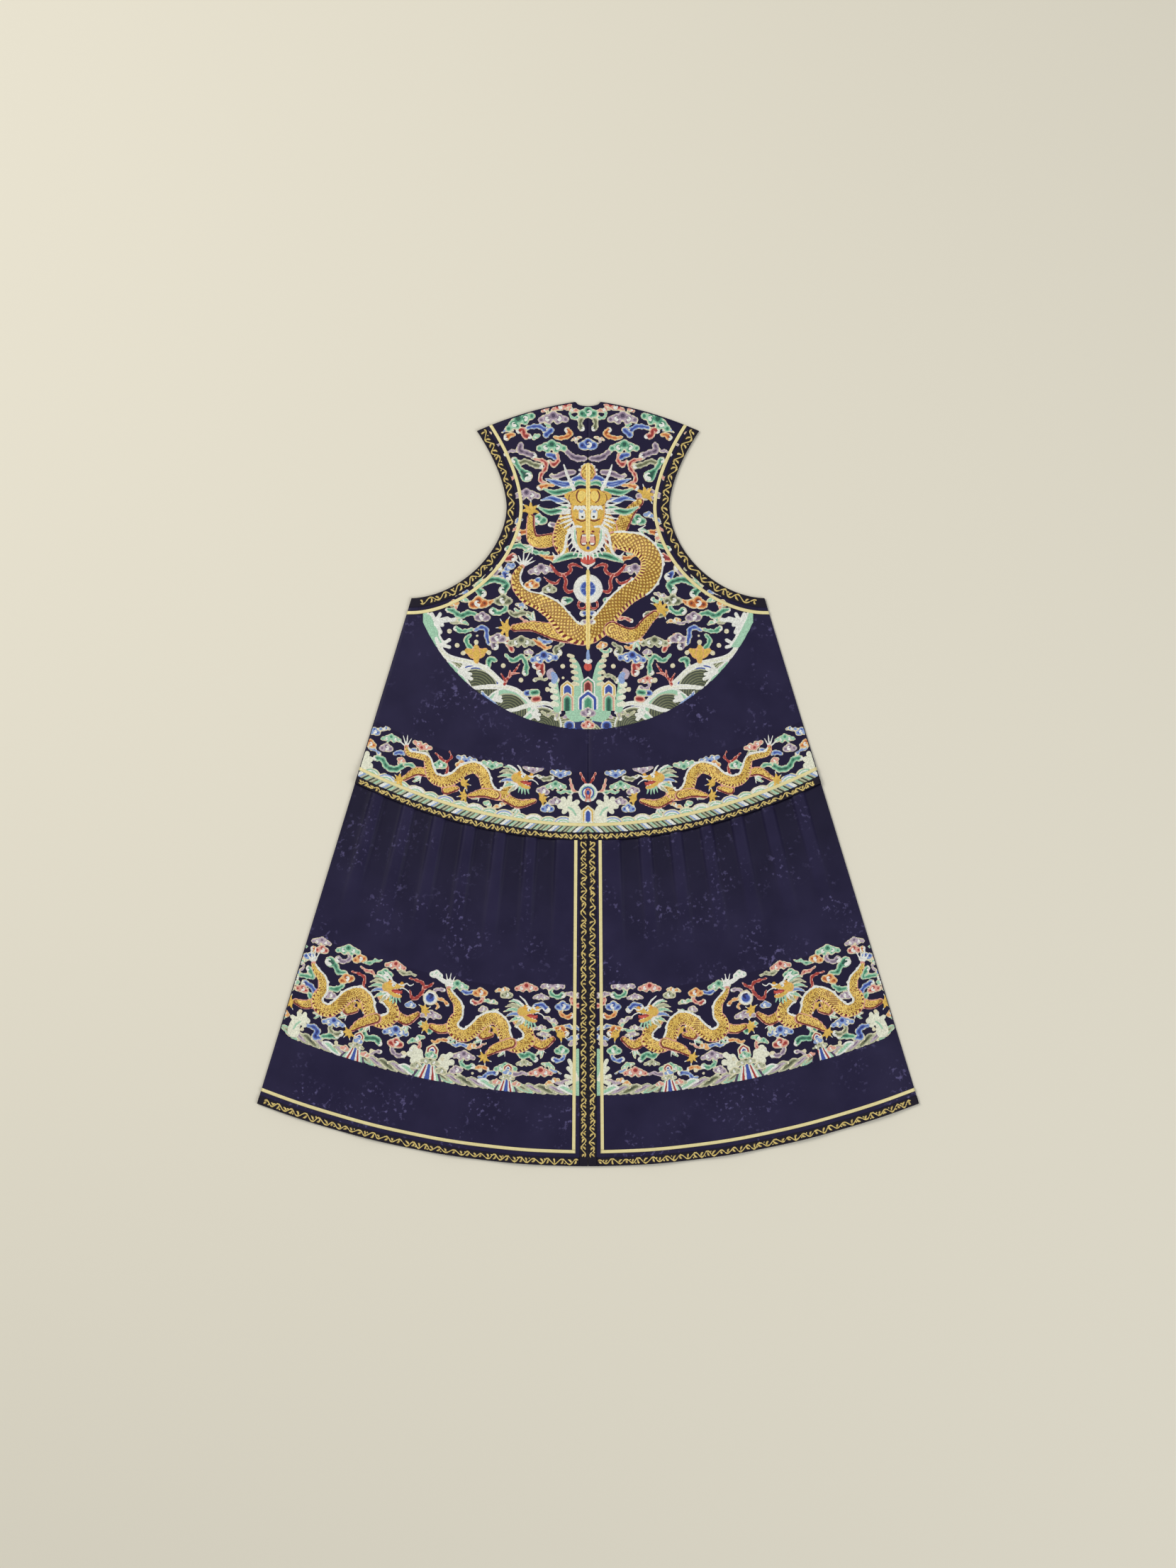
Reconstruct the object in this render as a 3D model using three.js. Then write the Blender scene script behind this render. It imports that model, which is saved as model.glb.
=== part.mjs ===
// A sleeveless court vest laid flat, back upwards, with its neck towards +Y.
// Units are millimetres, +Z is up, and the vest rests on z = 0.
// Two layers of cloth lie on each other: the fronts below and the backs above.
// "down" is a distance from the crest of the shoulders towards the hem, and
// "across" runs from 0 at the centre line to 1 at the armhole or side seam.

import * as THREE from 'three';

// Driving sizes
const LENGTH = 1390;                                  // crest of the shoulders to the hem's lowest point
const SHOULDER_TIP = { half: 202, down: 53 };
const ARMHOLE_NARROW = { half: 148, down: 192 };
const UNDERARM = { half: 321, down: 357, centreDown: 440 };
const WAIST = { centreDown: 797, sideDown: 693 };
const HEM = { half: 602, sideDown: 1276 };
const NECK = { half: 23, dip: 7.7 };                  // back neck, a shallow scoop
const FRONT_NECK_DIP = 85;                            // fronts, scooped lower under the back
const ARMHOLE_POWER = { upper: 1.7, lower: 1.8 };     // roundness above and below the narrowest place

const CLOTH = 2;                                      // satin, interlining and lining together
const SEAM_GAP = 0.3;
const OPENING_GAP = 1;                                // front opening and back vent, edge to edge

// Pleats fan out from the waist seam: places and widths are shares of the skirt's half width,
// and each half has seven recesses between flat ridges
const PLEATS = {
  count: 7,
  first: 0.178,
  pitch: 0.131,
  recess: 0.062,
  flank: 0.018,
  height: 4.5,
  run: 250,
};
const HEM_WAVES = { count: 4, start: 0.09, height: 3, begin: 0.5 };
const WAIST_LIFT_RUN = 95;                            // length over which the back rises onto the pleats

const EDGING = { thick: 0.8, armhole: 17, waist: 13, vent: 15.5, hem: 15.5 };
const PIPING = { thick: 1.2, wide: 6 };
const PIPING_INSET = { armhole: 23.5, waist: 25, hem: 23.2, ventAtWaist: 19, ventAtHem: 23.2 };

const NAVY = { color: 0x1d1740, roughness: 0.55, metalness: 0 };
const BROCADE = { color: 0x1a1520, roughness: 0.5, metalness: 0.15 };
const GOLD = { color: 0xc9b56a, roughness: 0.45, metalness: 0.35 };

// Small helpers
const mix = (a, b, share) => a + (b - a) * share;
const clamp01 = (value) => Math.min(1, Math.max(0, value));
const smooth = (value) => clamp01(value) ** 2 * (3 - 2 * clamp01(value));
const steps = (from, to, count) => Array.from({ length: count + 1 }, (_, i) => mix(from, to, i / count));
const yOf = (down) => LENGTH / 2 - down;

function sortedUnique(values) {
  const nearest = 1e-4;
  const sorted = [...values].sort((a, b) => a - b);
  return sorted.filter((value, i) => i === 0 || value - sorted[i - 1] > nearest);
}

// Outline of the vest
const SIDE_FLARE = (HEM.half - UNDERARM.half) / (HEM.sideDown - UNDERARM.down);
const UNDERARM_ROW = UNDERARM.centreDown / WAIST.centreDown;
const WAIST_HALF = UNDERARM.half + (WAIST.sideDown - UNDERARM.down) * SIDE_FLARE;

function armholeHalf(down) {
  const upper = ARMHOLE_NARROW.down - SHOULDER_TIP.down;
  const lower = UNDERARM.down - ARMHOLE_NARROW.down;
  if (down <= ARMHOLE_NARROW.down) {
    const rise = (ARMHOLE_NARROW.down - down) / upper;
    return mix(ARMHOLE_NARROW.half, SHOULDER_TIP.half, rise ** ARMHOLE_POWER.upper);
  }
  const fall = clamp01((down - ARMHOLE_NARROW.down) / lower);
  const curve = 1 - (1 - fall ** ARMHOLE_POWER.lower) ** (1 / ARMHOLE_POWER.lower);
  return mix(ARMHOLE_NARROW.half, UNDERARM.half, curve);
}

// A row of the bodice, from 0 at the shoulders to 1 at the waist seam
function bodiceRow(row) {
  const centreDown = row * WAIST.centreDown;
  if (row <= UNDERARM_ROW) {
    const sideDown = mix(SHOULDER_TIP.down, UNDERARM.down, row / UNDERARM_ROW);
    return { centreDown, sideDown, half: armholeHalf(sideDown) };
  }
  const sideDown = mix(UNDERARM.down, WAIST.sideDown, (row - UNDERARM_ROW) / (1 - UNDERARM_ROW));
  return { centreDown, sideDown, half: UNDERARM.half + (sideDown - UNDERARM.down) * SIDE_FLARE };
}

// A row of the skirt, from 0 at the waist seam to 1 at the hem
function skirtRow(row) {
  const sideDown = mix(WAIST.sideDown, HEM.sideDown, row);
  return {
    centreDown: mix(WAIST.centreDown, LENGTH, row),
    sideDown,
    half: UNDERARM.half + (sideDown - UNDERARM.down) * SIDE_FLARE,
  };
}

// Places on the cloth, as x and down
const NECK_ACROSS = NECK.half / SHOULDER_TIP.half;
const SHOULDER_ROWS = 0.3;                            // share of the rows that still follow the shoulder line
const SCOOP_RUN = { shortest: 64, perDip: 4 };        // how far down the rows still follow the neck's scoop

function bodicePlace(neckDip) {
  const scoopRows = (SCOOP_RUN.shortest + SCOOP_RUN.perDip * neckDip) / WAIST.centreDown;
  return (across, row) => {
    const { centreDown, sideDown, half } = bodiceRow(row);
    const nearShoulder = 1 - smooth(row / SHOULDER_ROWS);
    const pastNeck = clamp01((Math.abs(across) - NECK_ACROSS) / (1 - NECK_ACROSS));
    const arch = mix(across ** 2, (pastNeck + pastNeck ** 2) / 2, nearShoulder);
    const x = across * half;
    const bowl = Math.sqrt(1 - clamp01(Math.abs(x) / NECK.half) ** 2);
    const scoop = neckDip * bowl * (1 - smooth(row / scoopRows));
    return { x, down: mix(centreDown, sideDown, arch) + scoop };
  };
}

function skirtPlace(across, row) {
  const { centreDown, sideDown, half } = skirtRow(row);
  return { x: across * half, down: mix(centreDown, sideDown, across ** 2) };
}

// A skirt place at a fixed distance x from the centre line
function skirtPlaceAt(x, row) {
  return skirtPlace(x / skirtRow(row).half, row);
}

// Rows and columns that carry the cloth's curves
const bodiceRowAbove = (distance) =>
  1 - ((1 - UNDERARM_ROW) * distance) / (WAIST.centreDown - UNDERARM.centreDown);
const skirtRowBelowWaist = (distance) => distance / (LENGTH - WAIST.centreDown);
const skirtRowAboveHem = (distance) => 1 - distance / (LENGTH - WAIST.centreDown);

const WAIST_ROWS = {
  edging: bodiceRowAbove(EDGING.waist),
  pipingLow: bodiceRowAbove(PIPING_INSET.waist),
  pipingHigh: bodiceRowAbove(PIPING_INSET.waist + PIPING.wide),
};
const HEM_ROWS = {
  edging: skirtRowAboveHem(EDGING.hem),
  pipingLow: skirtRowAboveHem(PIPING_INSET.hem),
  pipingHigh: skirtRowAboveHem(PIPING_INSET.hem + PIPING.wide),
};

// Rows down the armhole follow its curve, so that they crowd where it turns out to the side seam
function armholeRows(upperCount, lowerCount) {
  const narrowRow =
    (UNDERARM_ROW * (ARMHOLE_NARROW.down - SHOULDER_TIP.down)) / (UNDERARM.down - SHOULDER_TIP.down);
  const upper = steps(0, narrowRow, upperCount);
  const turns = steps(0, Math.PI / 2, lowerCount);
  const lower = turns.map((turn) => mix(narrowRow, UNDERARM_ROW, Math.sin(turn)));
  return [...upper, ...lower];
}

const backBodiceRows = sortedUnique([
  ...armholeRows(5, 9),
  ...steps(UNDERARM_ROW, bodiceRowAbove(WAIST_LIFT_RUN), 3),
  ...steps(bodiceRowAbove(WAIST_LIFT_RUN), WAIST_ROWS.pipingHigh, 3),
  ...Object.values(WAIST_ROWS),
  1,
]);
const frontBodiceRows = sortedUnique([...armholeRows(5, 9), 1]);

const neckColumns = steps(0, NECK_ACROSS, 4);
const columnsPastNeck = (count) => sortedUnique([...neckColumns, ...steps(NECK_ACROSS, 1, count)]);
const bodiceColumns = columnsPastNeck(14);
const frontColumns = columnsPastNeck(8);
const fullColumns = sortedUnique([...bodiceColumns.map((across) => -across), ...bodiceColumns]);

const cornerHalf = skirtRow(HEM_ROWS.pipingHigh).half;
const ventEdgingAcross = (EDGING.vent + SEAM_GAP) / cornerHalf;
const ventPipingAcross = PIPING_INSET.ventAtHem / cornerHalf;
const pastVentPipingAcross = (PIPING_INSET.ventAtHem + PIPING.wide + SEAM_GAP) / cornerHalf;

function pleatColumns() {
  const columns = [];
  for (let i = 0; i < PLEATS.count; i++) {
    const centre = PLEATS.first + i * PLEATS.pitch;
    const inner = PLEATS.recess / 2;
    const outer = inner + PLEATS.flank;
    columns.push(centre - outer, centre - inner, centre + inner, centre + outer);
  }
  return columns.filter((across) => across < 1);
}

const skirtColumns = sortedUnique([
  0,
  ventEdgingAcross,
  ventPipingAcross,
  pastVentPipingAcross,
  HEM_WAVES.start,
  ...pleatColumns(),
  1,
]);
const skirtRows = sortedUnique([
  ...steps(0, skirtRowBelowWaist(PLEATS.run), 6),
  ...steps(skirtRowBelowWaist(PLEATS.run), HEM_ROWS.pipingHigh, 4),
  ...Object.values(HEM_ROWS),
  1,
]);

// Height of the back's underside over the flat front
const BACK_FLOOR = CLOTH + SEAM_GAP;

function pleatProfile(across) {
  let height = 1;
  for (let i = 0; i < PLEATS.count; i++) {
    const offset = Math.abs(across - (PLEATS.first + i * PLEATS.pitch)) - PLEATS.recess / 2;
    height = Math.min(height, clamp01(offset / PLEATS.flank));
  }
  return height;
}

function hemWave(across, row) {
  const share = clamp01((across - HEM_WAVES.start) / (1 - HEM_WAVES.start));
  const begin = smooth((row - HEM_WAVES.begin) / (1 - HEM_WAVES.begin));
  return HEM_WAVES.height * begin * Math.sin(Math.PI * HEM_WAVES.count * share) ** 2;
}

function backSkirtUnder(across, row) {
  const distance = row * (LENGTH - WAIST.centreDown);
  const fade = 1 - smooth(distance / PLEATS.run);
  return BACK_FLOOR + PLEATS.height * fade * pleatProfile(across) + hemWave(across, row);
}

function backBodiceUnder(across, row) {
  const rise = (row - bodiceRowAbove(WAIST_LIFT_RUN)) / (1 - bodiceRowAbove(WAIST_LIFT_RUN));
  return BACK_FLOOR + PLEATS.height * smooth(rise);
}

const onTop = (under) => (across, row) => under(across, row) + CLOTH + SEAM_GAP;

// Closed wall between two heights over a grid of columns and rows; side is 1, or -1 for a mirrored piece
function wall({ columns, rows, place, under, thick, side = 1, startX = -Infinity }) {
  const positions = [];
  const triangles = [];
  const width = columns.length;
  const layer = width * rows.length;
  for (const raise of [thick, 0]) {
    for (const row of rows) {
      for (const across of columns) {
        const { x, down } = place(across, row);
        positions.push(side * Math.max(x, startX), yOf(down), under(across, row) + raise);
      }
    }
  }
  const quad = (a, b, c, d) => {
    const turned = side > 0 ? [a, b, c, a, c, d] : [a, c, b, a, d, c];
    triangles.push(...turned);
  };
  const at = (column, row) => row * width + column;
  for (let row = 0; row < rows.length - 1; row++) {
    for (let column = 0; column < width - 1; column++) {
      const [a, b] = [at(column, row), at(column, row + 1)];
      const [c, d] = [b + 1, a + 1];
      quad(a, b, c, d);
      quad(d + layer, c + layer, b + layer, a + layer);
    }
  }
  for (let column = 0; column < width - 1; column++) {
    const [first, last] = [at(column, 0), at(column, rows.length - 1)];
    quad(first, first + 1, first + 1 + layer, first + layer);
    quad(last + 1, last, last + layer, last + 1 + layer);
  }
  for (let row = 0; row < rows.length - 1; row++) {
    const [inner, outer] = [at(0, row), at(width - 1, row)];
    quad(inner, inner + layer, inner + width + layer, inner + width);
    quad(outer + width, outer + width + layer, outer + layer, outer);
  }
  const geometry = new THREE.BufferGeometry();
  geometry.setAttribute('position', new THREE.Float32BufferAttribute(positions, 3));
  geometry.setIndex(triangles);
  geometry.computeVertexNormals();
  return geometry;
}

// Armhole line, with the direction that runs inwards over the cloth at each point
const ARMHOLE_CROWDING = 0.9;                         // points crowd towards the underarm's tight bend

function armholeLine(count = 36) {
  const points = steps(0, Math.PI / 2, count).map((turn) => {
    const down = mix(SHOULDER_TIP.down, UNDERARM.down, Math.sin(turn) ** ARMHOLE_CROWDING);
    return { x: armholeHalf(down), down };
  });
  return points.map((point, i) => {
    const before = points[Math.max(0, i - 1)];
    const after = points[Math.min(count, i + 1)];
    const along = new THREE.Vector2(after.x - before.x, after.down - before.down).normalize();
    const inwards = new THREE.Vector2(-along.y, along.x);
    return { ...point, inwards };
  });
}

// At its ends the armhole line's inset runs along the shoulder seam and the side seam
function mitred(line) {
  const place = bodicePlace(0);
  const acrossNearTip = 0.85;
  const tip = place(1, 0);
  const inner = place(acrossNearTip, 0);
  const alongShoulder = new THREE.Vector2(inner.x - tip.x, inner.down - tip.down).normalize();
  const alongSide = new THREE.Vector2(SIDE_FLARE, 1).normalize();
  const bend = (point, direction) => {
    const reach = direction.clone().divideScalar(direction.dot(point.inwards));
    return { ...point, inwards: reach };
  };
  return [bend(line[0], alongShoulder), ...line.slice(1, -1), bend(line.at(-1), alongSide)];
}

const armhole = mitred(armholeLine());

// A strip that lies on the back between two insets from the armhole line
function armholeStrip(from, to, thick, side) {
  const rows = armhole.map((_, i) => i);
  const place = (share, i) => {
    const { x, down, inwards } = armhole[i];
    const inset = mix(to, from, share);
    return { x: x + inwards.x * inset, down: down + inwards.y * inset };
  };
  const under = () => BACK_FLOOR + CLOTH + SEAM_GAP;
  return wall({ columns: [0, 1], rows, place, under, thick, side });
}

// Pieces of one half, right of the centre line for side 1 and left of it for side -1
function halfPieces(side) {
  const seam = SEAM_GAP / 2;
  const opening = OPENING_GAP / 2;
  const skirtTopGap = skirtRowBelowWaist(SEAM_GAP);
  const shifted = (rows) => rows.map((row) => Math.max(row, skirtTopGap));
  const columnsFrom = (first) => skirtColumns.filter((across) => across >= first);

  const backSkirtTop = onTop(backSkirtUnder);
  const ventRows = shifted(skirtRows);
  const ventPipingEnd = HEM_ROWS.pipingHigh - skirtTopGap;
  const ventPipingRows = [...ventRows.filter((row) => row < ventPipingEnd), ventPipingEnd];
  const ventPipingInset = (row) => mix(PIPING_INSET.ventAtWaist, PIPING_INSET.ventAtHem, row);
  const nearVentTop = (_, row) => backSkirtTop(0, row);

  return {
    front_bodice: [NAVY, wall({
      columns: frontColumns, rows: frontBodiceRows, place: bodicePlace(FRONT_NECK_DIP),
      under: () => 0, thick: CLOTH, side, startX: opening,
    })],
    front_skirt: [NAVY, wall({
      columns: frontColumns, rows: shifted(steps(0, 1, 3)), place: skirtPlace,
      under: () => 0, thick: CLOTH, side, startX: opening,
    })],
    back_bodice: [NAVY, wall({
      columns: bodiceColumns, rows: backBodiceRows, place: bodicePlace(NECK.dip),
      under: backBodiceUnder, thick: CLOTH, side, startX: seam,
    })],
    back_skirt: [NAVY, wall({
      columns: skirtColumns, rows: shifted(skirtRows), place: skirtPlace,
      under: backSkirtUnder, thick: CLOTH, side, startX: opening,
    })],
    armhole_edging: [BROCADE, armholeStrip(0, EDGING.armhole, EDGING.thick, side)],
    armhole_piping: [GOLD, armholeStrip(
      PIPING_INSET.armhole, PIPING_INSET.armhole + PIPING.wide, PIPING.thick, side,
    )],
    vent_edging: [BROCADE, wall({
      columns: [opening, EDGING.vent], rows: ventRows, place: skirtPlaceAt,
      under: nearVentTop, thick: EDGING.thick, side,
    })],
    vent_piping: [GOLD, wall({
      columns: [0, PIPING.wide], rows: ventPipingRows,
      place: (aside, row) => skirtPlaceAt(ventPipingInset(row) + aside, row),
      under: nearVentTop, thick: PIPING.thick, side,
    })],
    hem_edging: [BROCADE, wall({
      columns: columnsFrom(ventEdgingAcross), rows: [HEM_ROWS.edging, 1], place: skirtPlace,
      under: backSkirtTop, thick: EDGING.thick, side,
    })],
    hem_piping: [GOLD, wall({
      columns: columnsFrom(ventPipingAcross), rows: [HEM_ROWS.pipingHigh, HEM_ROWS.pipingLow],
      place: skirtPlace, under: backSkirtTop, thick: PIPING.thick, side,
    })],
  };
}

// Pieces that run right across the back, over the waist seam
function waistPieces() {
  const shared = { columns: fullColumns, place: bodicePlace(0), under: onTop(backBodiceUnder) };
  return {
    waist_edging: [BROCADE, wall({ ...shared, rows: [WAIST_ROWS.edging, 1], thick: EDGING.thick })],
    waist_piping: [GOLD, wall({
      ...shared, rows: [WAIST_ROWS.pipingHigh, WAIST_ROWS.pipingLow], thick: PIPING.thick,
    })],
  };
}

const vest = new THREE.Group();

function addPieces(pieces, suffix) {
  for (const [name, [finish, geometry]] of Object.entries(pieces)) {
    const piece = new THREE.Mesh(geometry, new THREE.MeshStandardMaterial(finish));
    piece.name = name + suffix;
    vest.add(piece);
  }
}

addPieces(halfPieces(-1), '_left');
addPieces(halfPieces(1), '_right');
addPieces(waistPieces(), '');

export default vest;
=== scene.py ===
"""A sleeveless court vest laid flat on a pale floor, back upwards.

Sizes are millimetres until a mesh is made. x runs to the right, down runs from the crest of
the shoulders towards the hem, and across runs from 0 at the centre line to 1 at the side.
The embroidery is drawn as cells of thread on the cloth, each with its own colour and height.
"""

import math
from functools import partial
from types import SimpleNamespace

import bpy
import numpy as np
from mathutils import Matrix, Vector


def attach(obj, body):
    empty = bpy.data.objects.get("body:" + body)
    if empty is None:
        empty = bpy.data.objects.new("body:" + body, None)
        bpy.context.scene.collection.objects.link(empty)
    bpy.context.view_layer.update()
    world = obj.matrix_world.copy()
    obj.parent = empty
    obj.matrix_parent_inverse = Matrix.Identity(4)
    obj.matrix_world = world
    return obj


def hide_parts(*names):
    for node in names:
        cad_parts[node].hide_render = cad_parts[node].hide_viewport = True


MM = 0.001
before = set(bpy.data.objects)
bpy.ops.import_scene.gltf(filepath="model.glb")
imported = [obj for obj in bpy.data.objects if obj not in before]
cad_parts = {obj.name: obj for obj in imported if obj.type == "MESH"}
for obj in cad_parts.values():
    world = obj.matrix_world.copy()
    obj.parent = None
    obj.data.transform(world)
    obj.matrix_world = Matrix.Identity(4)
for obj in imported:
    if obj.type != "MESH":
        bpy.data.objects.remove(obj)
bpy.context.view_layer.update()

# The vest's cut, as its solids have it
LENGTH = 1390
SHOULDER_HALF, SHOULDER_DOWN = 202, 53
NARROW_HALF, NARROW_DOWN = 148, 192
UNDERARM_HALF, UNDERARM_DOWN, UNDERARM_CENTRE = 321, 357, 440
WAIST_CENTRE, WAIST_SIDE = 797, 693
HEM_HALF, HEM_SIDE = 602, 1276
NECK_HALF, NECK_DIP, FRONT_NECK_DIP = 23, 7.7, 85
ARMHOLE_UPPER, ARMHOLE_LOWER = 1.7, 1.8
SIDE_FLARE = (HEM_HALF - UNDERARM_HALF) / (HEM_SIDE - UNDERARM_DOWN)
UNDERARM_ROW = UNDERARM_CENTRE / WAIST_CENTRE
NECK_ACROSS = NECK_HALF / SHOULDER_HALF
SHOULDER_ROWS = 0.3
SCOOP_SHORTEST, SCOOP_PER_DIP = 64, 4
HALVINGS = 20

CLOTH = 2
SEAM_GAP = 0.3
OPENING_GAP = 1
BACK_SEAM = 0.03
BACK_FLOOR = CLOTH + SEAM_GAP
BARE = 0
PLEAT_COUNT, PLEAT_FIRST, PLEAT_PITCH = 7, 0.178, 0.131
PLEAT_RECESS, PLEAT_FLANK, PLEAT_HEIGHT, PLEAT_RUN = 0.062, 0.018, 4.5, 250
WAVE_COUNT, WAVE_START, WAVE_HEIGHT, WAVE_BEGIN = 4, 0.09, 3, 0.5
WAIST_LIFT_RUN = 95
EDGING_THICK, ARMHOLE_EDGING, WAIST_EDGING, VENT_EDGING, HEM_EDGING = 0.8, 17, 13, 15.5, 15.5
PIPING_THICK, PIPING_WIDE, ARMHOLE_PIPING, WAIST_PIPING, HEM_PIPING = 1.2, 6, 23.5, 25, 23.2
VENT_PIPING_AT_WAIST, VENT_PIPING_AT_HEM = 19, 23.2
RIM = 0.8
RIM_THICKNESS = 0.35

# The embroidered yoke is a circle and the bands are rings, each with its centre down the middle
YOKE_RADIUS, YOKE_CENTRE = 328, 268
BAND_CENTRE, BAND_TOP, BAND_BOTTOM = -192, 1264, 1453.6
WAIST_BAND_CENTRE, WAIST_BAND_TOP = -176, 850
SIDE_MARGIN, EDGING_MARGIN = 1.5, 0.6


def mix(a, b, share):
    return a + (b - a) * share


def smooth(value):
    held = np.clip(value, 0, 1)
    return held * held * (3 - 2 * held)


def armhole_half(down):
    rise = np.clip((NARROW_DOWN - down) / (NARROW_DOWN - SHOULDER_DOWN), 0, 1)
    above = mix(NARROW_HALF, SHOULDER_HALF, rise**ARMHOLE_UPPER)
    fall = np.clip((down - NARROW_DOWN) / (UNDERARM_DOWN - NARROW_DOWN), 0, 1)
    turn = 1 - (1 - fall**ARMHOLE_LOWER) ** (1 / ARMHOLE_LOWER)
    return np.where(down < NARROW_DOWN, above, mix(NARROW_HALF, UNDERARM_HALF, turn))


def side_half(down):
    return UNDERARM_HALF + (down - UNDERARM_DOWN) * SIDE_FLARE


def bodice_place(across, row, neck_dip=0):
    """Where a share of the width and of the rows lies on the bodice, as x and down."""
    above = mix(SHOULDER_DOWN, UNDERARM_DOWN, row / UNDERARM_ROW)
    below = mix(UNDERARM_DOWN, WAIST_SIDE, (row - UNDERARM_ROW) / (1 - UNDERARM_ROW))
    side = np.where(row <= UNDERARM_ROW, above, below)
    by_armhole = armhole_half(np.minimum(above, UNDERARM_DOWN))
    half = np.where(row <= UNDERARM_ROW, by_armhole, side_half(side))
    near_shoulder = 1 - smooth(row / SHOULDER_ROWS)
    past_neck = np.clip((np.abs(across) - NECK_ACROSS) / (1 - NECK_ACROSS), 0, 1)
    arch = mix(across**2, (past_neck + past_neck**2) / 2, near_shoulder)
    x = across * half
    bowl = np.sqrt(1 - np.clip(np.abs(x) / NECK_HALF, 0, 1) ** 2)
    scoop_rows = (SCOOP_SHORTEST + SCOOP_PER_DIP * neck_dip) / WAIST_CENTRE
    scoop = neck_dip * bowl * (1 - smooth(row / scoop_rows))
    return x, mix(row * WAIST_CENTRE, side, arch) + scoop


def skirt_place(across, row):
    side = mix(WAIST_SIDE, HEM_SIDE, row)
    return across * side_half(side), mix(mix(WAIST_CENTRE, LENGTH, row), side, across**2)


def bodice_row_above(distance):
    return 1 - (1 - UNDERARM_ROW) * distance / (WAIST_CENTRE - UNDERARM_CENTRE)


def skirt_row_below(distance):
    return distance / (LENGTH - WAIST_CENTRE)


def row_at(place, x, down, half_of):
    """The row that a place on the cloth lies in, found by halving."""
    low, high = np.zeros_like(x), np.ones_like(x)
    for _ in range(HALVINGS):
        row = (low + high) / 2
        deeper = place(x / half_of(row), row)[1] < down
        low, high = np.where(deeper, row, low), np.where(deeper, high, row)
    return (low + high) / 2


# Soft creases of the back, as the middle's x and down, half length, half width, height and turn
CREASES = (
    (-215, 500, 120, 16, 0.9, 1.25),
    (190, 540, 150, 20, 0.8, 1.95),
    (-60, 620, 90, 14, 0.5, 0.35),
    (-330, 930, 130, 22, 0.9, 1.35),
    (250, 960, 160, 18, 1.0, 1.75),
    (-170, 1000, 110, 14, 0.7, 1.5),
    (410, 1180, 120, 24, 0.8, 1.2),
    (120, 1240, 80, 16, 0.6, 1.6),
    (-450, 1180, 90, 18, 0.7, 1.8),
)
CREASE_BEND = 0.002


def creases(x, down):
    height = 0
    for at_x, at_down, length, width, lift, turn in CREASES:
        along = (x - at_x) * math.cos(turn) + (down - at_down) * math.sin(turn)
        aside = (down - at_down) * math.cos(turn) - (x - at_x) * math.sin(turn)
        bend = aside - CREASE_BEND * along**2
        height = height + lift * np.exp(-((along / length) ** 2) - (bend / width) ** 2)
    return height


def bodice_under(row, x, down):
    rise = (row - bodice_row_above(WAIST_LIFT_RUN)) / (1 - bodice_row_above(WAIST_LIFT_RUN))
    return BACK_FLOOR + PLEAT_HEIGHT * smooth(rise) + creases(x, down)


def pleat_profile(across):
    height = np.ones_like(across)
    for i in range(PLEAT_COUNT):
        offset = np.abs(np.abs(across) - PLEAT_FIRST - i * PLEAT_PITCH) - PLEAT_RECESS / 2
        height = np.minimum(height, smooth(offset / PLEAT_FLANK))
    return height


def pleat_fade(row):
    return 1 - smooth(row * (LENGTH - WAIST_CENTRE) / PLEAT_RUN)


def skirt_under(across, row, x, down):
    share = np.clip((np.abs(across) - WAVE_START) / (1 - WAVE_START), 0, 1)
    begin = smooth((row - WAVE_BEGIN) / (1 - WAVE_BEGIN))
    wave = WAVE_HEIGHT * begin * np.sin(math.pi * WAVE_COUNT * share) ** 2
    pleats = PLEAT_HEIGHT * pleat_fade(row) * pleat_profile(across)
    return BACK_FLOOR + pleats + wave + creases(x, down)


def bodice_top(x, down):
    def half(row):
        side = mix(UNDERARM_DOWN, WAIST_SIDE, (row - UNDERARM_ROW) / (1 - UNDERARM_ROW))
        return side_half(side)

    row = row_at(bodice_place, x, down, half)
    return bodice_under(np.where(down < UNDERARM_DOWN, 0, row), x, down) + CLOTH


def skirt_top(x, down):
    def half(row):
        return side_half(mix(WAIST_SIDE, HEM_SIDE, row))

    row = row_at(skirt_place, x, down, half)
    return skirt_under(x / half(row), row, x, down) + CLOTH


# Thread colours, as red, green and blue from 0 to 255. The last number is 1 for metal thread.
THREADS = {
    "ground": (26, 18, 54, 0),
    "cream": (226, 217, 182, 0),
    "white": (232, 232, 222, 0),
    "mint": (160, 204, 172, 0),
    "green": (72, 146, 112, 0),
    "pine": (22, 82, 66, 0),
    "pale_blue": (140, 164, 208, 0),
    "blue": (48, 76, 160, 0),
    "ink": (18, 28, 92, 0),
    "rose": (224, 160, 142, 0),
    "red": (164, 48, 40, 0),
    "wine": (118, 24, 26, 0),
    "peach": (232, 174, 110, 0),
    "orange": (188, 96, 34, 0),
    "brown": (118, 50, 20, 0),
    "lilac": (186, 168, 180, 0),
    "mauve": (130, 112, 132, 0),
    "plum": (72, 56, 84, 0),
    "stone": (180, 182, 150, 0),
    "olive": (108, 112, 78, 0),
    "moss": (54, 62, 48, 0),
    "coral": (206, 84, 70, 0),
    "black": (16, 14, 22, 0),
    "gold": (222, 181, 80, 1),
    "light_gold": (240, 210, 112, 1),
    "dark_gold": (158, 112, 40, 1),
    "amber": (226, 166, 58, 1),
    "pale_gold": (214, 190, 112, 1),
    "old_gold": (128, 104, 48, 1),
    "cord": (246, 224, 146, 1),
    "froth": (230, 230, 206, 0),
}
THREAD = {name: i for i, name in enumerate(THREADS)}


def threads_of(names):
    return np.array([THREAD[name] for name in names], np.uint8)


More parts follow.
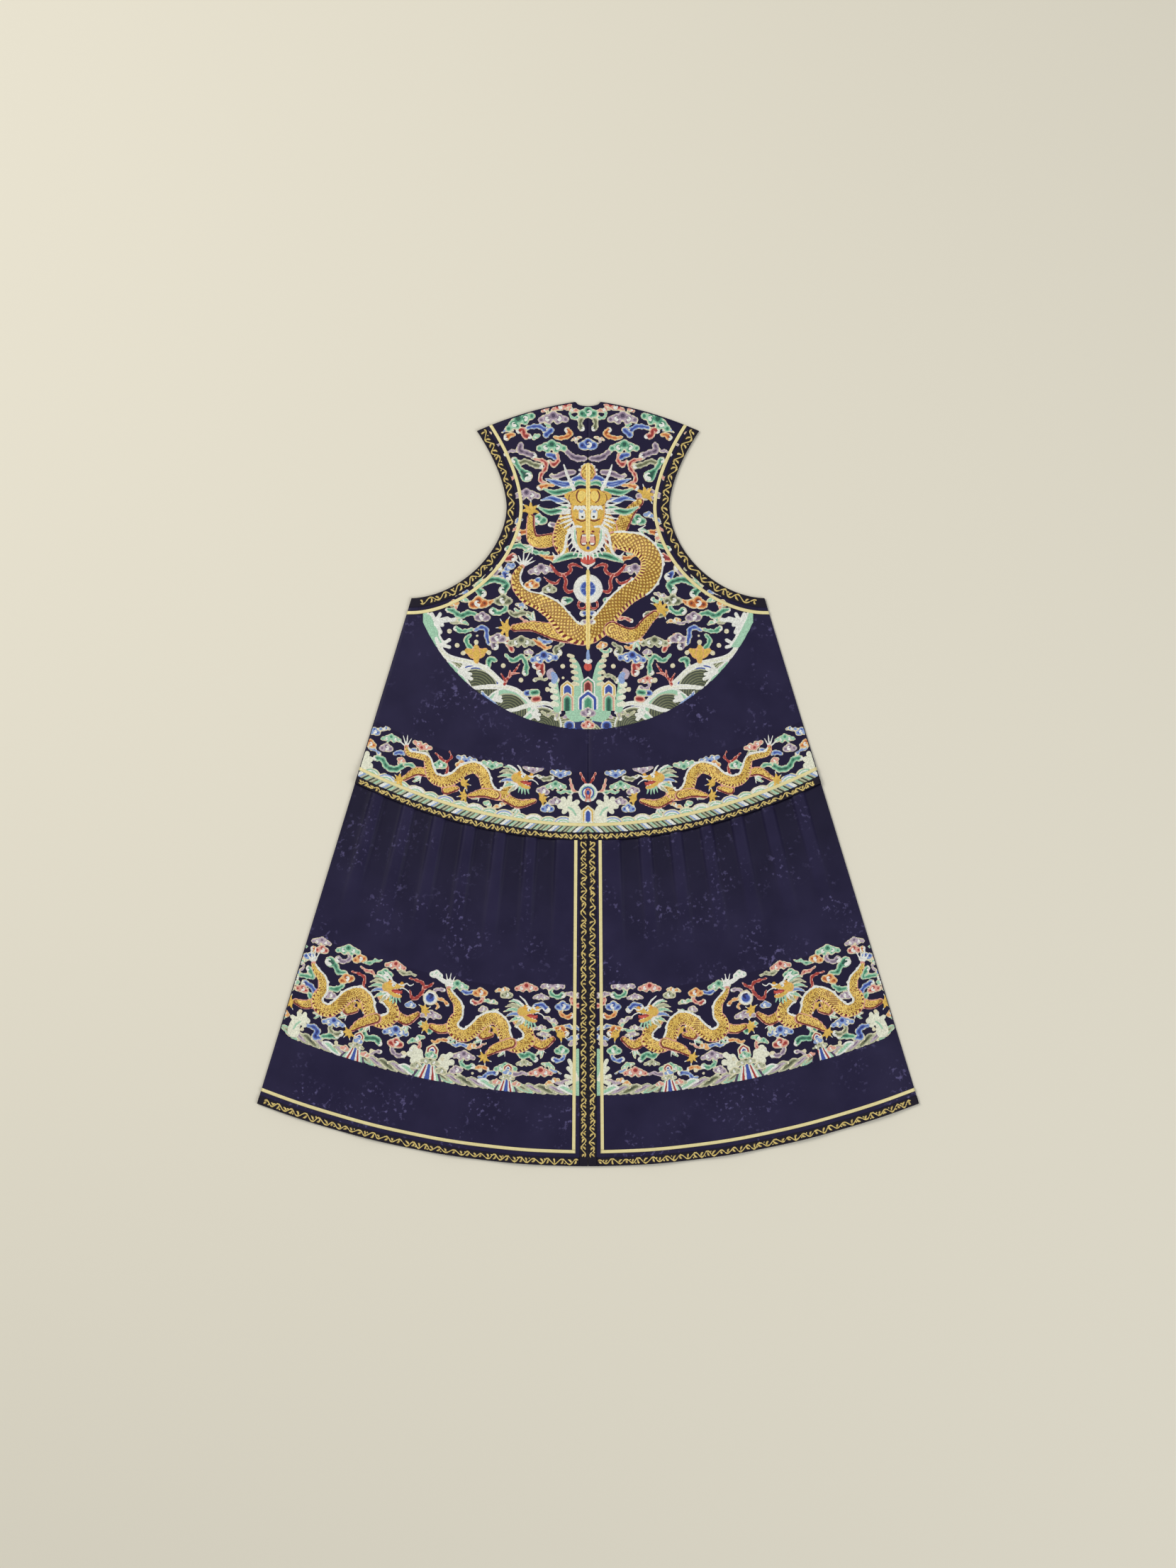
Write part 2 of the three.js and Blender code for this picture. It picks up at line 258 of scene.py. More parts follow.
# From the outline of a shape inwards
TINTS = {
    "green": ("cream", "mint", "green", "pine"),
    "blue": ("cream", "pale_blue", "blue", "ink"),
    "red": ("cream", "rose", "red", "wine"),
    "orange": ("cream", "peach", "orange", "brown"),
    "mauve": ("cream", "lilac", "mauve", "plum"),
    "olive": ("cream", "stone", "olive", "moss"),
    "foam": ("white", "white", "mint", "mint"),
    "flame": ("rose", "red", "wine", "wine"),
    "mist": ("cream", "mint", "stone", "olive"),
    "shadow": ("cream", "stone", "lilac", "mauve"),
    "azure": ("white", "pale_blue", "blue", "pale_blue"),
    "crest": ("white", "white", "froth", "mint"),
    "gold": ("peach", "gold", "gold", "gold"),
}
TINT_STEPS = (1.2, 3.2, 5.2)
THREAD_LIFT = 0.35
THREAD_PITCH = 0.9
BORDER_HEIGHT = 0.12
OUTLINE = 1.2
MOSTLY_BARE = 0.06

# Clouds
RIPPLE, RIPPLE_PITCH = 0.7, 11
MERGING = 7.0
CLOUD_SIZE = 1.18

# Dragons' scales, bellies and fins, as shares of their width or in millimetres
SCALE_PITCH, SCALE_PITCH_LEAST, SCALE_REACH = 0.42, 4.6, 0.56
SCALE_EDGE, SCALE_EDGE_FALL, SCALE_MIDDLE = 0.9, 0.028, 0.42
BELLY_SHARE, BELLY_PITCH = 0.4, 0.42
FIN_PITCH, FIN_SPIKE, FIN_SPIKE_EVERY = 4.4, 3.4, 6


def smooth_line(rows, per=6):
    """A smooth line through rows of numbers: u, v and half width."""
    p = np.asarray(rows, float)
    p = np.vstack([2 * p[0] - p[1], p, 2 * p[-1] - p[-2]])
    a, b, c, d = p[:-3, None], p[1:-2, None], p[2:-1, None], p[3:, None]
    t = np.linspace(0, 1, per, endpoint=False)[None, :, None]
    curve = 2 * b + (c - a) * t + (2 * a - 5 * b + 4 * c - d) * t**2 + (3 * b - a - 3 * c + d) * t**3
    return np.vstack([curve.reshape(-1, p.shape[1]) / 2, p[-2]])


class Ground:
    """Cloth divided into cells. u and v are where the cells' middles lie in the drawing."""

    def __init__(self, x, down, along=None, aside=None, shown=None):
        self.x, self.down = x, down
        self.shape = (x.shape[0] - 1, x.shape[1] - 1)
        self.u = self.middles(x if along is None else along)
        self.v = self.middles(down if aside is None else aside)
        self.shown = np.ones(self.u.size, bool) if shown is None else shown(self.u, self.v)
        self.thread = np.zeros(self.u.size, np.uint8)
        self.height = np.zeros(self.u.size)
        self.grain = np.zeros(self.u.size)

    @staticmethod
    def middles(corners):
        return ((corners[:-1, :-1] + corners[1:, :-1] + corners[:-1, 1:] + corners[1:, 1:]) / 4).ravel()

    def view(self, x=0, down=0, turn=0, size=1, mirror=False, reach=1e6, behind=False):
        return View(self, x, down, turn, size, mirror, reach, behind)

    def halves(self):
        """Views for what both halves have. The second one is mirrored."""
        return [self.view(mirror=mirror) for mirror in (False, True)]


class View:
    """The cells near one motif, in the motif's own units. Its u axis points along turn.

    A motif that lies behind the others only covers cells that are still bare.
    """

    def __init__(self, ground, x, down, turn, size, mirror, reach, behind):
        aside, below = (-ground.u if mirror else ground.u) - x, ground.v - down
        near = ground.shown & (np.abs(aside) < reach * size) & (np.abs(below) < reach * size)
        if behind:
            near &= ground.thread == BARE
        self.cells = np.flatnonzero(near)
        aside, below = aside[self.cells], below[self.cells]
        self.u = (aside * math.cos(turn) + below * math.sin(turn)) / size
        self.v = (below * math.cos(turn) - aside * math.sin(turn)) / size
        self.ground, self.middle = ground, (x, down)
        self.size, self.turn, self.mirror = size, turn, mirror

    def placed(self, u, v):
        """Where a place in the view's own units lies on the ground."""
        x, down = self.middle
        cos, sin = self.size * math.cos(self.turn), self.size * math.sin(self.turn)
        return x + u * cos - v * sin, down + u * sin + v * cos

    def lay(self, at, thread, height, grain=0.0):
        """Covers the picked cells with a thread, which lies at an angle to the u axis."""
        cells = self.cells[at]
        self.ground.thread[cells] = THREAD[thread] if isinstance(thread, str) else thread
        self.ground.height[cells] = height
        turned = grain + self.turn
        self.ground.grain[cells] = -turned if self.mirror else turned

    def shade(self, at, depth, tint, lift=0.7, dome=4.0, grain=0.0):
        """Covers a shape in bands of colour from its outline inwards, and pads it."""
        inside = depth > 0
        steps = np.digitize(depth[inside], TINT_STEPS)
        threads = threads_of(TINTS[tint])[steps]
        height = THREAD_LIFT + lift * np.sqrt(np.clip(depth[inside] / dome, 0, 1))
        turned = grain[inside] if isinstance(grain, np.ndarray) else grain
        self.lay(at[inside], threads, height, turned)

    def stroke(self, rows, margin=0.0):
        """What lies under a brush stroke: depth inside it, length along it and side of it."""
        line = smooth_line(rows)
        place, radius = line[:, :2], line[:, 2]
        low, high = place.min(0) - radius.max() - margin, place.max(0) + radius.max() + margin
        near = (self.u > low[0]) & (self.u < high[0]) & (self.v > low[1]) & (self.v < high[1])
        at = np.flatnonzero(near)
        step = np.diff(place, axis=0)
        squared = np.maximum((step**2).sum(1), 1e-9)
        u, v = self.u[at, None] - place[:-1, 0], self.v[at, None] - place[:-1, 1]
        share = np.clip((u * step[:, 0] + v * step[:, 1]) / squared, 0, 1)
        gap = np.hypot(u - share * step[:, 0], v - share * step[:, 1])
        wide = radius[:-1] + share * np.diff(radius)
        nearest = np.argmin(gap - wide, axis=1)[:, None]

        def pick(values):
            return np.take_along_axis(np.broadcast_to(values, gap.shape), nearest, 1)[:, 0]

        lengths = np.sqrt(squared)
        began = np.concatenate([[0], np.cumsum(lengths)[:-1]])
        cross = step[:, 0] * v - step[:, 1] * u
        far, half, size = pick(gap), pick(wide), self.size
        return SimpleNamespace(
            at=at,
            depth=(half - far) * size,
            along=(pick(began) + pick(share) * pick(lengths)) * size,
            side=np.sign(pick(cross)) * far * size,
            half=half * size,
            heading=pick(np.arctan2(step[:, 1], step[:, 0])),
            total=lengths.sum() * size,
        )

    def brush(self, rows, tint, lift=0.6, dome=3.0, ripple=0.0):
        """A shaded stroke, sewn across its length. Its edges may ripple."""
        s = self.stroke(rows, margin=ripple)
        depth = s.depth + ripple * np.sin(2 * math.pi * s.along / RIPPLE_PITCH)
        self.shade(s.at, depth, tint, lift, dome, s.heading + math.pi / 2)

    def line(self, rows, thread, height=0.8):
        """A stroke of one thread."""
        s = self.stroke(rows)
        inside = s.depth > 0
        self.lay(s.at[inside], thread, height, s.heading[inside])

    def pad(self, rows, tint, lift, dome=4.0):
        """A shaded and padded shape, sewn along the u axis."""
        s = self.stroke(rows)
        self.shade(s.at, s.depth, tint, lift, dome)

    def coats(self, rows, *coats):
        """Layers of one thread each, from a depth inside the stroke inwards."""
        s = self.stroke(rows)
        for depth, thread, height in coats:
            self.lay(s.at[s.depth > depth], thread, height)

    def disc(self, u, v, radius, thread, height=0.8):
        self.lay(np.flatnonzero(np.hypot(self.u - u, self.v - v) < radius), thread, height)


# Clouds, in units of a lobe's radius
HEADS = {
    "wide": (
        (0, -0.6, 0.95), (-1.2, -0.2, 0.8), (1.2, -0.2, 0.8), (-2.3, 0.15, 0.66), (2.3, 0.15, 0.66),
        (-0.8, 0.5, 0.6), (0.8, 0.5, 0.6),
    ),
    "round": (
        (0, -0.6, 0.95), (-1.2, 0.05, 0.86), (1.2, 0.05, 0.86), (-0.55, 0.45, 0.6), (0.55, 0.45, 0.6),
    ),
    "low": ((-1.0, -0.1, 0.8), (0.9, -0.2, 0.85), (2.1, 0.15, 0.6), (-2.1, 0.15, 0.55), (0, 0.4, 0.6)),
}
TAILS = {
    "wisp": (
        (0.8, 0.5, 0.5), (1.9, 1.3, 0.62), (3.1, 1.4, 0.58), (4.1, 1.0, 0.5), (5.1, 1.4, 0.38),
        (6.0, 1.1, 0.1),
    ),
    "hook": ((-0.3, 0.5, 0.5), (-0.6, 1.5, 0.58), (0.2, 2.3, 0.58), (1.3, 2.6, 0.6), (2.2, 2.2, 0.85)),
    "stem": ((0.2, 0.5, 0.5), (0.7, 1.4, 0.55), (0, 2.3, 0.55), (-1.1, 2.6, 0.6), (-2.0, 2.2, 0.85)),
}
COMMA = (
    (0.05, 0.42, 0.3), (0.48, 0.3, 0.27), (0.6, -0.12, 0.19), (0.25, -0.42, 0.12), (-0.15, -0.25, 0.06),
)


def comma(view, u, v, hand=1, radius=1.0, thread="white"):
    """A white curl, turning to the right or, for hand -1, to the left."""
    rows = [(u + hand * a * radius, v + b * radius, r * radius * 1.1) for a, b, r in COMMA]
    view.line(rows, thread, 1.1)


def ribbon(view, tint, rows, ends="last"):
    """A strip of cloud, with a curl in its round ends."""
    view.brush(rows, tint, ripple=RIPPLE)
    for end, inner in ((0, 1), (-1, -2)):
        if ends == "both" or (ends == "last" and end) or (ends == "first" and not end):
            u, v, radius = rows[end]
            hand = 1 if u > rows[inner][0] else -1
            comma(view, u, v, hand, radius * 1.05)


def cloud(view, tint, head="wide", tail=None, tail_tint="mauve"):
    if tail:
        ribbon(view, tail_tint, TAILS[tail], "none" if tail == "wisp" else "last")
    lobes = [MERGING * (r - np.hypot(view.u - u, view.v - v)) for u, v, r in HEADS[head]]
    depth = np.logaddexp.reduce(lobes, axis=0) / MERGING * view.size
    view.shade(np.arange(depth.size), depth, tint)
    if head == "wide":
        comma(view, -0.95, -0.1, -1, 0.75)
        comma(view, 0.95, -0.1, 1, 0.75)
    else:
        comma(view, 0, -0.15, 1, 0.95)


# Dragons
def scales(along, side, pitch):
    """The shading of overlapping scales: 0 at the middle of one and 1 at its edge."""
    row = np.floor(along / (pitch / 2))
    found = np.full(along.shape, 2.0)
    for step in (1, 0, -1, -2):
        level = row + step
        shift = np.where(level % 2 == 0, 0, pitch / 2)
        middle = np.round((side - shift) / pitch) * pitch + shift
        far = np.hypot(along - level * pitch / 2, side - middle) / (pitch * SCALE_REACH)
        found = np.where((found > 1) & (far < 1), far, found)
    return found


def scaled_limb(view, rows, belly=0, fins=0, lift=1.2, flip_at=None, hem=0):
    """A limb or body with scales. belly, fins and hem are 1 or -1 for the side that they are on."""
    s = view.stroke(rows, margin=8 / view.size)
    wide = s.half.max() if s.half.size else 1
    side = s.side * (np.where(s.along < flip_at * s.total, -1, 1) if flip_at else 1)
    grain = s.heading + math.pi / 2
    edge = s.depth > -OUTLINE
    view.lay(s.at[edge], "rose", 0.5, grain[edge])
    if fins:
        beads = 0.7 + 1.3 * np.abs(np.sin(math.pi * s.along / FIN_PITCH))
        from_spike = np.abs(s.along / (FIN_SPIKE_EVERY * FIN_PITCH) % 1 - 0.5) * 2 * FIN_SPIKE_EVERY
        beads = beads + FIN_SPIKE * np.clip(1 - from_spike, 0, 1)
        beads *= np.clip(s.half / 8, 0.4, 1)
        between_ends = (s.along > 1) & (s.along < s.total - 1)
        fin = between_ends & (side * fins > 0) & (s.depth < 1.5) & (-s.depth < beads)
        view.lay(s.at[fin], "white", 0.8, grain[fin])
    body = (s.depth > 0) & ((side * fins <= 0) | (s.depth > 1.4))
    pitch = max(SCALE_PITCH_LEAST, SCALE_PITCH * wide)
    shade = scales(s.along[body], s.side[body], pitch)
    fall = (s.half[body] - s.depth[body]) ** 2 / np.maximum(s.half[body], 1) ** 2
    dome = np.sqrt(np.clip(1 - fall, 0, 1))
    at_edge = shade > SCALE_EDGE - SCALE_EDGE_FALL * pitch
    threads = np.where(at_edge, THREAD["dark_gold"], THREAD["gold"])
    threads = np.where(shade < SCALE_MIDDLE, THREAD["light_gold"], threads).astype(np.uint8)
    height = 0.5 + lift * dome + 0.25 * (1 - np.clip(shade, 0, 1))
    view.lay(s.at[body], threads, height, grain[body])
    if belly:
        pitch = BELLY_PITCH * wide
        plates = (side * belly > 0) & (s.depth > 0) & (s.depth < BELLY_SHARE * s.half)
        dash = (s.along / pitch + 0.8 * s.depth / wide) % 1 < 0.5
        inner = plates & dash & (s.depth > 0.6)
        view.lay(s.at[plates], "light_gold", 0.8, grain[plates])
        view.lay(s.at[inner], "wine", 1.0, s.heading[inner])
    if hem:
        line = (side * hem > 0) & (s.depth > 0) & (s.depth < 1.9)
        view.lay(s.at[line], "wine", 0.9, s.heading[line])


def claw(view, u, v, heading, size=1.0, spread=3.0):
    """An open foot of five toes with white nails."""
    for toe in range(5):
        angle = heading + spread * (toe / 4 - 0.5)
        tip_angle = angle + 0.12 * (toe - 2)
        knee_u, knee_v = u + 7 * size * math.cos(angle), v + 7 * size * math.sin(angle)
        tip_u, tip_v = u + 12.5 * size * math.cos(tip_angle), v + 12.5 * size * math.sin(tip_angle)
        view.line(((u, v, 2.5 * size), (knee_u, knee_v, 1.9 * size), (tip_u, tip_v, 1.1)), "gold", 1.2)
        nail = [(mix(knee_u, tip_u, t), mix(knee_v, tip_v, t), r) for t, r in ((0.8, 1.1), (1.4, 0.6))]
        view.line(nail, "white", 0.9)
    view.disc(u, v, 4.2 * size, "gold", 1.5)


def hair(view, rows, tint):
    """A lock of mane, sewn along its length."""
    s = view.stroke(rows)
    view.shade(s.at, s.depth, tint, 0.7, 3.0, s.heading)


def tuft(view, u, v, heading, size=1.0):
    """Green and white hair that streams from an elbow."""
    for turn, tint, length in ((-0.3, "green", 18), (0.35, "green", 15)):
        rows = []
        for t, radius in ((0, 2.0), (0.4, 3.4), (0.8, 2.6), (1, 0.8)):
            angle = heading + turn + 0.5 * t
            reach = size * length * t
            rows.append((u + reach * math.cos(angle), v + reach * math.sin(angle), radius))
        hair(view, rows, tint)
    for turn in (-0.7, 0.05, 0.7):
        angle = heading + turn
        tip = (u + 13 * size * math.cos(angle), v + 13 * size * math.sin(angle), 0.7)
        view.line(((u, v, 1.0), tip), "white", 1.1)


def spikes(view, tips, width=1.5, thread="white", height=0.9):
    """Pointed tufts, each from a root to a tip."""
    for (root_u, root_v), (tip_u, tip_v) in tips:
        middle = (mix(root_u, tip_u, 0.5), mix(root_v, tip_v, 0.5))
        view.line(((root_u, root_v, width), (*middle, width * 0.75), (tip_u, tip_v, 0.6)), thread, height)


def profile_head(view):
    """A dragon's head seen from the side, facing along u."""
    locks = (
        ("green", (-6, -14), (-20, -24), (-33, -22)),
        ("olive", (-8, -9), (-26, -16), (-40, -12)),
        ("green", (-8, -3), (-26, -8), (-43, -3)),
        ("blue", (-8, 2), (-26, 1), (-40, 7)),
        ("green", (-8, 8), (-20, 10), (-32, 17)),
        ("olive", (-4, 12), (-12, 18), (-22, 26)),
    )
    for tint, root, middle, tip in locks:
        hair(view, ((*root, 4), (*middle, 3.8), (*tip, 1.0)), tint)
    view.line(((-2, -12, 2.0), (-12, -22, 1.7), (-24, -27, 1.1)), "white", 1.2)
    view.line(((4, -13, 2.0), (-2, -24, 1.7), (-12, -33, 1.1)), "white", 1.2)
    beard = (((2, 12), (-2, 26)), ((6, 14), (5, 28)), ((10, 15), (12, 29)), ((15, 16), (19, 27)))
    spikes(view, beard, 2.2, "mint")
    spikes(view, (((-6, 5), (-18, 9)), ((-5, 8), (-15, 16)), ((-3, 10), (-9, 21))), 1.9)
    view.pad(((-2, 5, 4.5), (8, 12, 4), (19, 14.5, 3)), "gold", 1.0)
    view.line(((4, 3, 3.2), (12, 6, 3.8), (20, 8, 2.8)), "red", 1.0)
    view.line(((6, 5, 1.3), (15, 7.5, 1.6), (22, 4, 0.9)), "coral", 1.3)
    view.pad(((-7, -3, 9), (3, -6, 8.5), (14, -4, 5.2), (22, -6, 5)), "gold", 1.5)
    view.disc(0, -11, 5, "amber", 2.0)
    view.disc(22, -10, 3.6, "amber", 2.0)
    view.line(((16, -9, 0.9), (20, -6, 0.9), (24, -8, 0.9)), "white", 2.0)
    view.disc(6, -7, 3.8, "white", 1.9)
    view.disc(7, -6.5, 1.6, "black", 2.0)
    view.line(((0, -12, 1.0), (6, -12.5, 1.3), (11, -10, 1.0)), "white", 2.0)
    for u, v in ((9, 1), (14, 1), (19, 0), (12, 9), (17, 11)):
        view.disc(u, v, 1.4, "white", 1.6)
    view.line(((23, -5, 1.0), (31, -10, 1.0), (37, -5, 1.0), (45, -9, 0.8)), "white", 0.9)
    view.line(((20, -2, 1.0), (30, 2, 1.0), (36, 8, 0.8)), "white", 0.9)


# Walking dragons: the body from tail to neck, the limbs with the way that each foot points, the
# elbows' hair and the head. The one on the skirt is measured from its middle.
SKIRT_DRAGON = SimpleNamespace(
    body=(
        (-83, -65, 3.5), (-78, -53, 5.5), (-67, -37, 7.5), (-66, -18, 8.5), (-76, -3, 9.5), (-72, 13, 11),
        (-54, 20, 11.5), (-37, 9, 11.5), (-21, -6, 11.5), (-1, -12, 11.5), (14, 0, 11.5), (18, 17, 11),
        (26, 34, 11), (43, 40, 11.5), (60, 31, 11), (61, 15, 9), (51, 3, 8), (42, -6, 8),
    ),
    behind=(
        (((-76, 4, 8), (-98, 9, 7.5), (-116, 3, 4.5)), (-124, 4), 3.1, -1),
        (((-14, 6, 7), (-22, 20, 7), (-6, 19, 4.5)), (1, 12), -0.6, 1),
        (((66, 27, 8), (86, 38, 8), (106, 27, 4.5)), (117, 20), -0.5, 1),
    ),
    before=((((30, 34, 9), (3, 43, 8), (-12, 53, 4.5)), (-18, 59), 2.4, -1),),
    tufts=((-22, 26, 2.6), (18, 46, 2.2), (84, 44, 1.4), (-70, 22, 2.2)),
    tail=((-96, -86), (-88, -93), (-79, -94), (-71, -88)),
    head=(57, -20, 0.0),
)
WAIST_DRAGON = SimpleNamespace(
    body=(
        (-104, -61, 3.5), (-99, -50, 5), (-82, -46, 6), (-67, -40, 6.5), (-62, -22, 8), (-55, -6, 9.5),
        (-36, 1, 10.5), (-16, -6, 10.5), (0, -19, 10.5), (20, -24, 10.5), (36, -12, 10.5), (42, 8, 10),
        (52, 22, 9.5), (67, 26, 9), (79, 15, 8), (84, 2, 7.5),
    ),
    behind=(
        (((-64, -14, 7), (-86, -17, 7), (-108, -4, 4)), (-115, -2), 3.0, -1),
        (((-22, 2, 7), (-33, 18, 6.5), (-12, 14, 4)), (-1, 6), -0.7, 1),
        (((74, 30, 7.5), (100, 42, 7.5), (128, 37, 4)), (141, 33), -0.3, 1),
    ),
    before=((((58, 26, 8.5), (36, 22, 7.5), (12, 27, 4)), (2, 27), 3.0, -1),),
    tufts=((-78, -8, 2.4), (30, 26, 2.6), (98, 48, 1.8)),
    tail=((-118, -74), (-110, -82), (-102, -84), (-94, -78)),
    head=(102, -2, 0.05),
)


def legs(view, forms, lift, claw_size):
    for rows, foot, heading, hem in forms:
        scaled_limb(view, rows, lift=lift, hem=hem)
        claw(view, *foot, heading, claw_size)


def walking_dragon(view, form):
    for u, v, heading in form.tufts:
        tuft(view, u, v, heading)
    legs(view, form.behind, 1.0, 1.05)
    spikes(view, [(form.body[0][:2], tip) for tip in form.tail], 1.4)
    scaled_limb(view, form.body, belly=1, fins=-1)
    legs(view, form.before, 1.0, 1.05)
    u, v, nod = form.head
    place, turn = view.placed(u, v), view.turn + nod
    profile_head(view.ground.view(*place, turn, view.size * 0.95, view.mirror, 60))


# The frontal dragon of the yoke, in millimetres from the centre line and the shoulder crest
FRONT_BODY = (
    (46, 250, 13), (69, 254, 17), (95, 261, 19), (114, 283, 19.5), (115, 308, 19.5), (101, 331, 19),
    (74, 349, 18), (50, 371, 18), (31, 396, 18.5), (13, 415, 19), (-6, 423, 19), (-27, 419, 19),
    (-45, 401, 19), (-63, 380, 18), (-85, 365, 15.5), (-110, 355, 12), (-126, 340, 9.5), (-131, 323, 8),
    (-127, 309, 6), (-120, 300, 3.5),
)
FRONT_NECK = ((-34, 200, 9), (-42, 216, 12), (-49, 238, 13), (-50, 256, 12.5), (-44, 276, 9))
FRONT_SHOULDER = ((30, 206, 9), (40, 226, 11), (42, 252, 11), (38, 276, 8))
FRONT_LEGS = (
    (((-60, 249, 11), (-82, 254, 12), (-99, 251, 10), (-104, 234, 7.5), (-104, 210, 6)), (-105, 199),
     -1.5, 1),
    (((44, 262, 10), (54, 240, 13), (66, 216, 12), (78, 198, 9), (94, 182, 6.5)), (104, 170), -0.9, 1),
    (((-30, 424, 15), (-56, 420, 14), (-80, 413, 11.5), (-104, 408, 8.5), (-134, 411, 6)), (-147, 411),
     3.15, -1),
    (((44, 414, 14), (68, 424, 13.5), (90, 420, 11), (108, 399, 9), (122, 386, 6.5)), (131, 378),
     -0.75, -1),
)
CHEEKS = (
    (30, 178, 46, 166), (32, 184, 54, 174), (33, 190, 58, 184), (33, 196, 59, 194), (33, 202, 58, 204),
    (32, 208, 55, 213), (30, 214, 51, 222), (28, 219, 45, 230), (34, 187, 48, 189), (34, 199, 48, 199),
)
BEARD = (
    (25, 226, 38, 234), (26, 234, 41, 244), (26, 242, 41, 255), (25, 250, 38, 264), (23, 258, 33, 272),
    (19, 265, 27, 279), (14, 269, 19, 284), (8, 272, 10, 287), (3, 273, 3, 288),
)
MANES = (
    ("mauve", (26, 128, 5), (42, 130, 6), (58, 136, 4.5), (70, 134, 1.5)),
    ("azure", (3, 142, 4), (15, 138, 5.4), (27, 143, 5), (38, 154, 2)),
    ("green", (3, 150, 3.6), (16, 147, 5), (28, 154, 4.4), (34, 164, 2)),
    ("azure", (28, 148, 4.4), (44, 150, 6.2), (60, 146, 5.2), (78, 140, 1.5)),
    ("green", (30, 160, 4.4), (46, 163, 6.4), (62, 165, 5.6), (82, 158, 1.8)),
    ("azure", (36, 177, 4), (54, 179, 5.6), (68, 175, 4.6), (86, 179, 1.5)),
    ("green", (38, 190, 4.4), (56, 198, 6.4), (72, 200, 5.8), (92, 191, 1.8)),
    ("green", (8, 280, 3.4), (28, 279, 6.4), (46, 284, 5.8), (64, 292, 2)),
)
WHISKER = (
    (12, 227, 1.4), (22, 227, 2.0), (33, 234, 2.1), (39, 249, 2.1), (42, 267, 2.0), (48, 277, 1.8),
    (58, 281, 1.6), (65, 274, 1.0),
)
PEARL = (0, 340)


def front_head(ground):
    for view in ground.halves():
        for tint, *rows in MANES:
            hair(view, rows, tint)
        view.line(((22, 166, 3.2), (31, 148, 2.8), (38, 132, 2.2), (44, 114, 1.4)), "white", 1.6)
        spikes(view, [((a, b), (c, d)) for a, b, c, d in CHEEKS], 1.8, "white", 1.2)
        spikes(view, [((a, b), (c, d)) for a, b, c, d in BEARD], 1.5, "white", 1.2)
        view.line(((24, 222, 3), (26, 240, 4.6), (22, 260, 5), (9, 271, 4), (0, 273, 4)), "white", 1.3)
        view.line(((24, 232, 1.2), (23, 250, 1.6), (14, 265, 1.2)), "mint", 1.4)
        for u, v, radius in ((0, 113, 3.2), (6, 114, 3), (11, 118, 3), (15, 124, 3), (15, 131, 2.6)):
            view.disc(u, v, radius, "white", 1.2)
    view = ground.view()
    scaled_limb(view, ((0, 124, 11.5), (0, 130, 12.5)), lift=1.2)
    face = ((0, 190, 31), (0, 206, 29), (0, 222, 24), (0, 236, 20.5), (0, 252, 20), (0, 258, 14))
    view.pad(face, "gold", 1.4, 10)
    for view in ground.halves():
        view.pad(((28, 172, 10), (36, 172, 6.5), (41, 169, 2)), "gold", 1.8, 3)
        view.coats(((10, 173, 16), (21, 176, 13)), (-1.3, "brown", 1.6), (0, "gold", 2.2))
        view.coats(((11, 169, 9.5), (13, 175, 8.5)), (0, "amber", 2.4), (2, "light_gold", 2.5))
        view.line(((17, 161, 0.8), (21, 169, 1.3), (19, 179, 1.1), (13, 184, 0.7)), "brown", 2.6)
        view.coats(((11.5, 201, 5.6), (11, 208, 6.4)), (-1, "amber", 2.0), (0, "white", 2.1))
        view.disc(12, 199, 3.6, "pale_blue", 2.2)
        view.disc(10.5, 209.5, 2.6, "black", 2.3)
        for u in (4, 11, 18):
            view.line(((u, 196, 1.4), (u + 4, 191, 2.4), (u + 8, 196, 1.4)), "white", 2.3)
        view.line(((4, 215, 1.0), (12, 217, 1.4), (22, 213, 1.0)), "brown", 2.2)
        view.line(((28, 206, 1.0), (25, 216, 1.3), (18, 222, 1.0)), "amber", 2.2)
        view.pad(((4, 230, 6.5), (9, 233, 5.5)), "gold", 1.9, 3)
        view.disc(9, 236, 2.6, "wine", 2.5)
        view.coats(((7, 246, 6.5), (8, 256, 6.5)), (0, "wine", 1.7), (2, "rose", 1.8))
        for v in (243, 258):
            view.line(((5, v, 1.8), (10, v, 1.8)), "white", 2.0)
        view.line(WHISKER, "white", 1.8)
    view = ground.view()
    view.line(((0, 194, 3.0), (0, 212, 3.6), (0, 228, 3.6)), "light_gold", 2.4)
    view.disc(0, 266, 3.4, "blue", 1.9)


RED_RIBBONS = (
    ((10, 302, 1.4), (24, 296, 3.2), (34, 298, 3.2), (31, 306, 3.4), (40, 314, 3.6), (52, 314, 3.6),
     (60, 307, 3.4), (68, 296, 2.2)),
    ((46, 314, 2.4), (40, 326, 3.4), (42, 338, 3.6), (36, 346, 3.4), (25, 343, 2.2)),
    ((80, 319, 1.2), (70, 327, 2.6), (58, 330, 2.8), (51, 322, 1.8)),
)


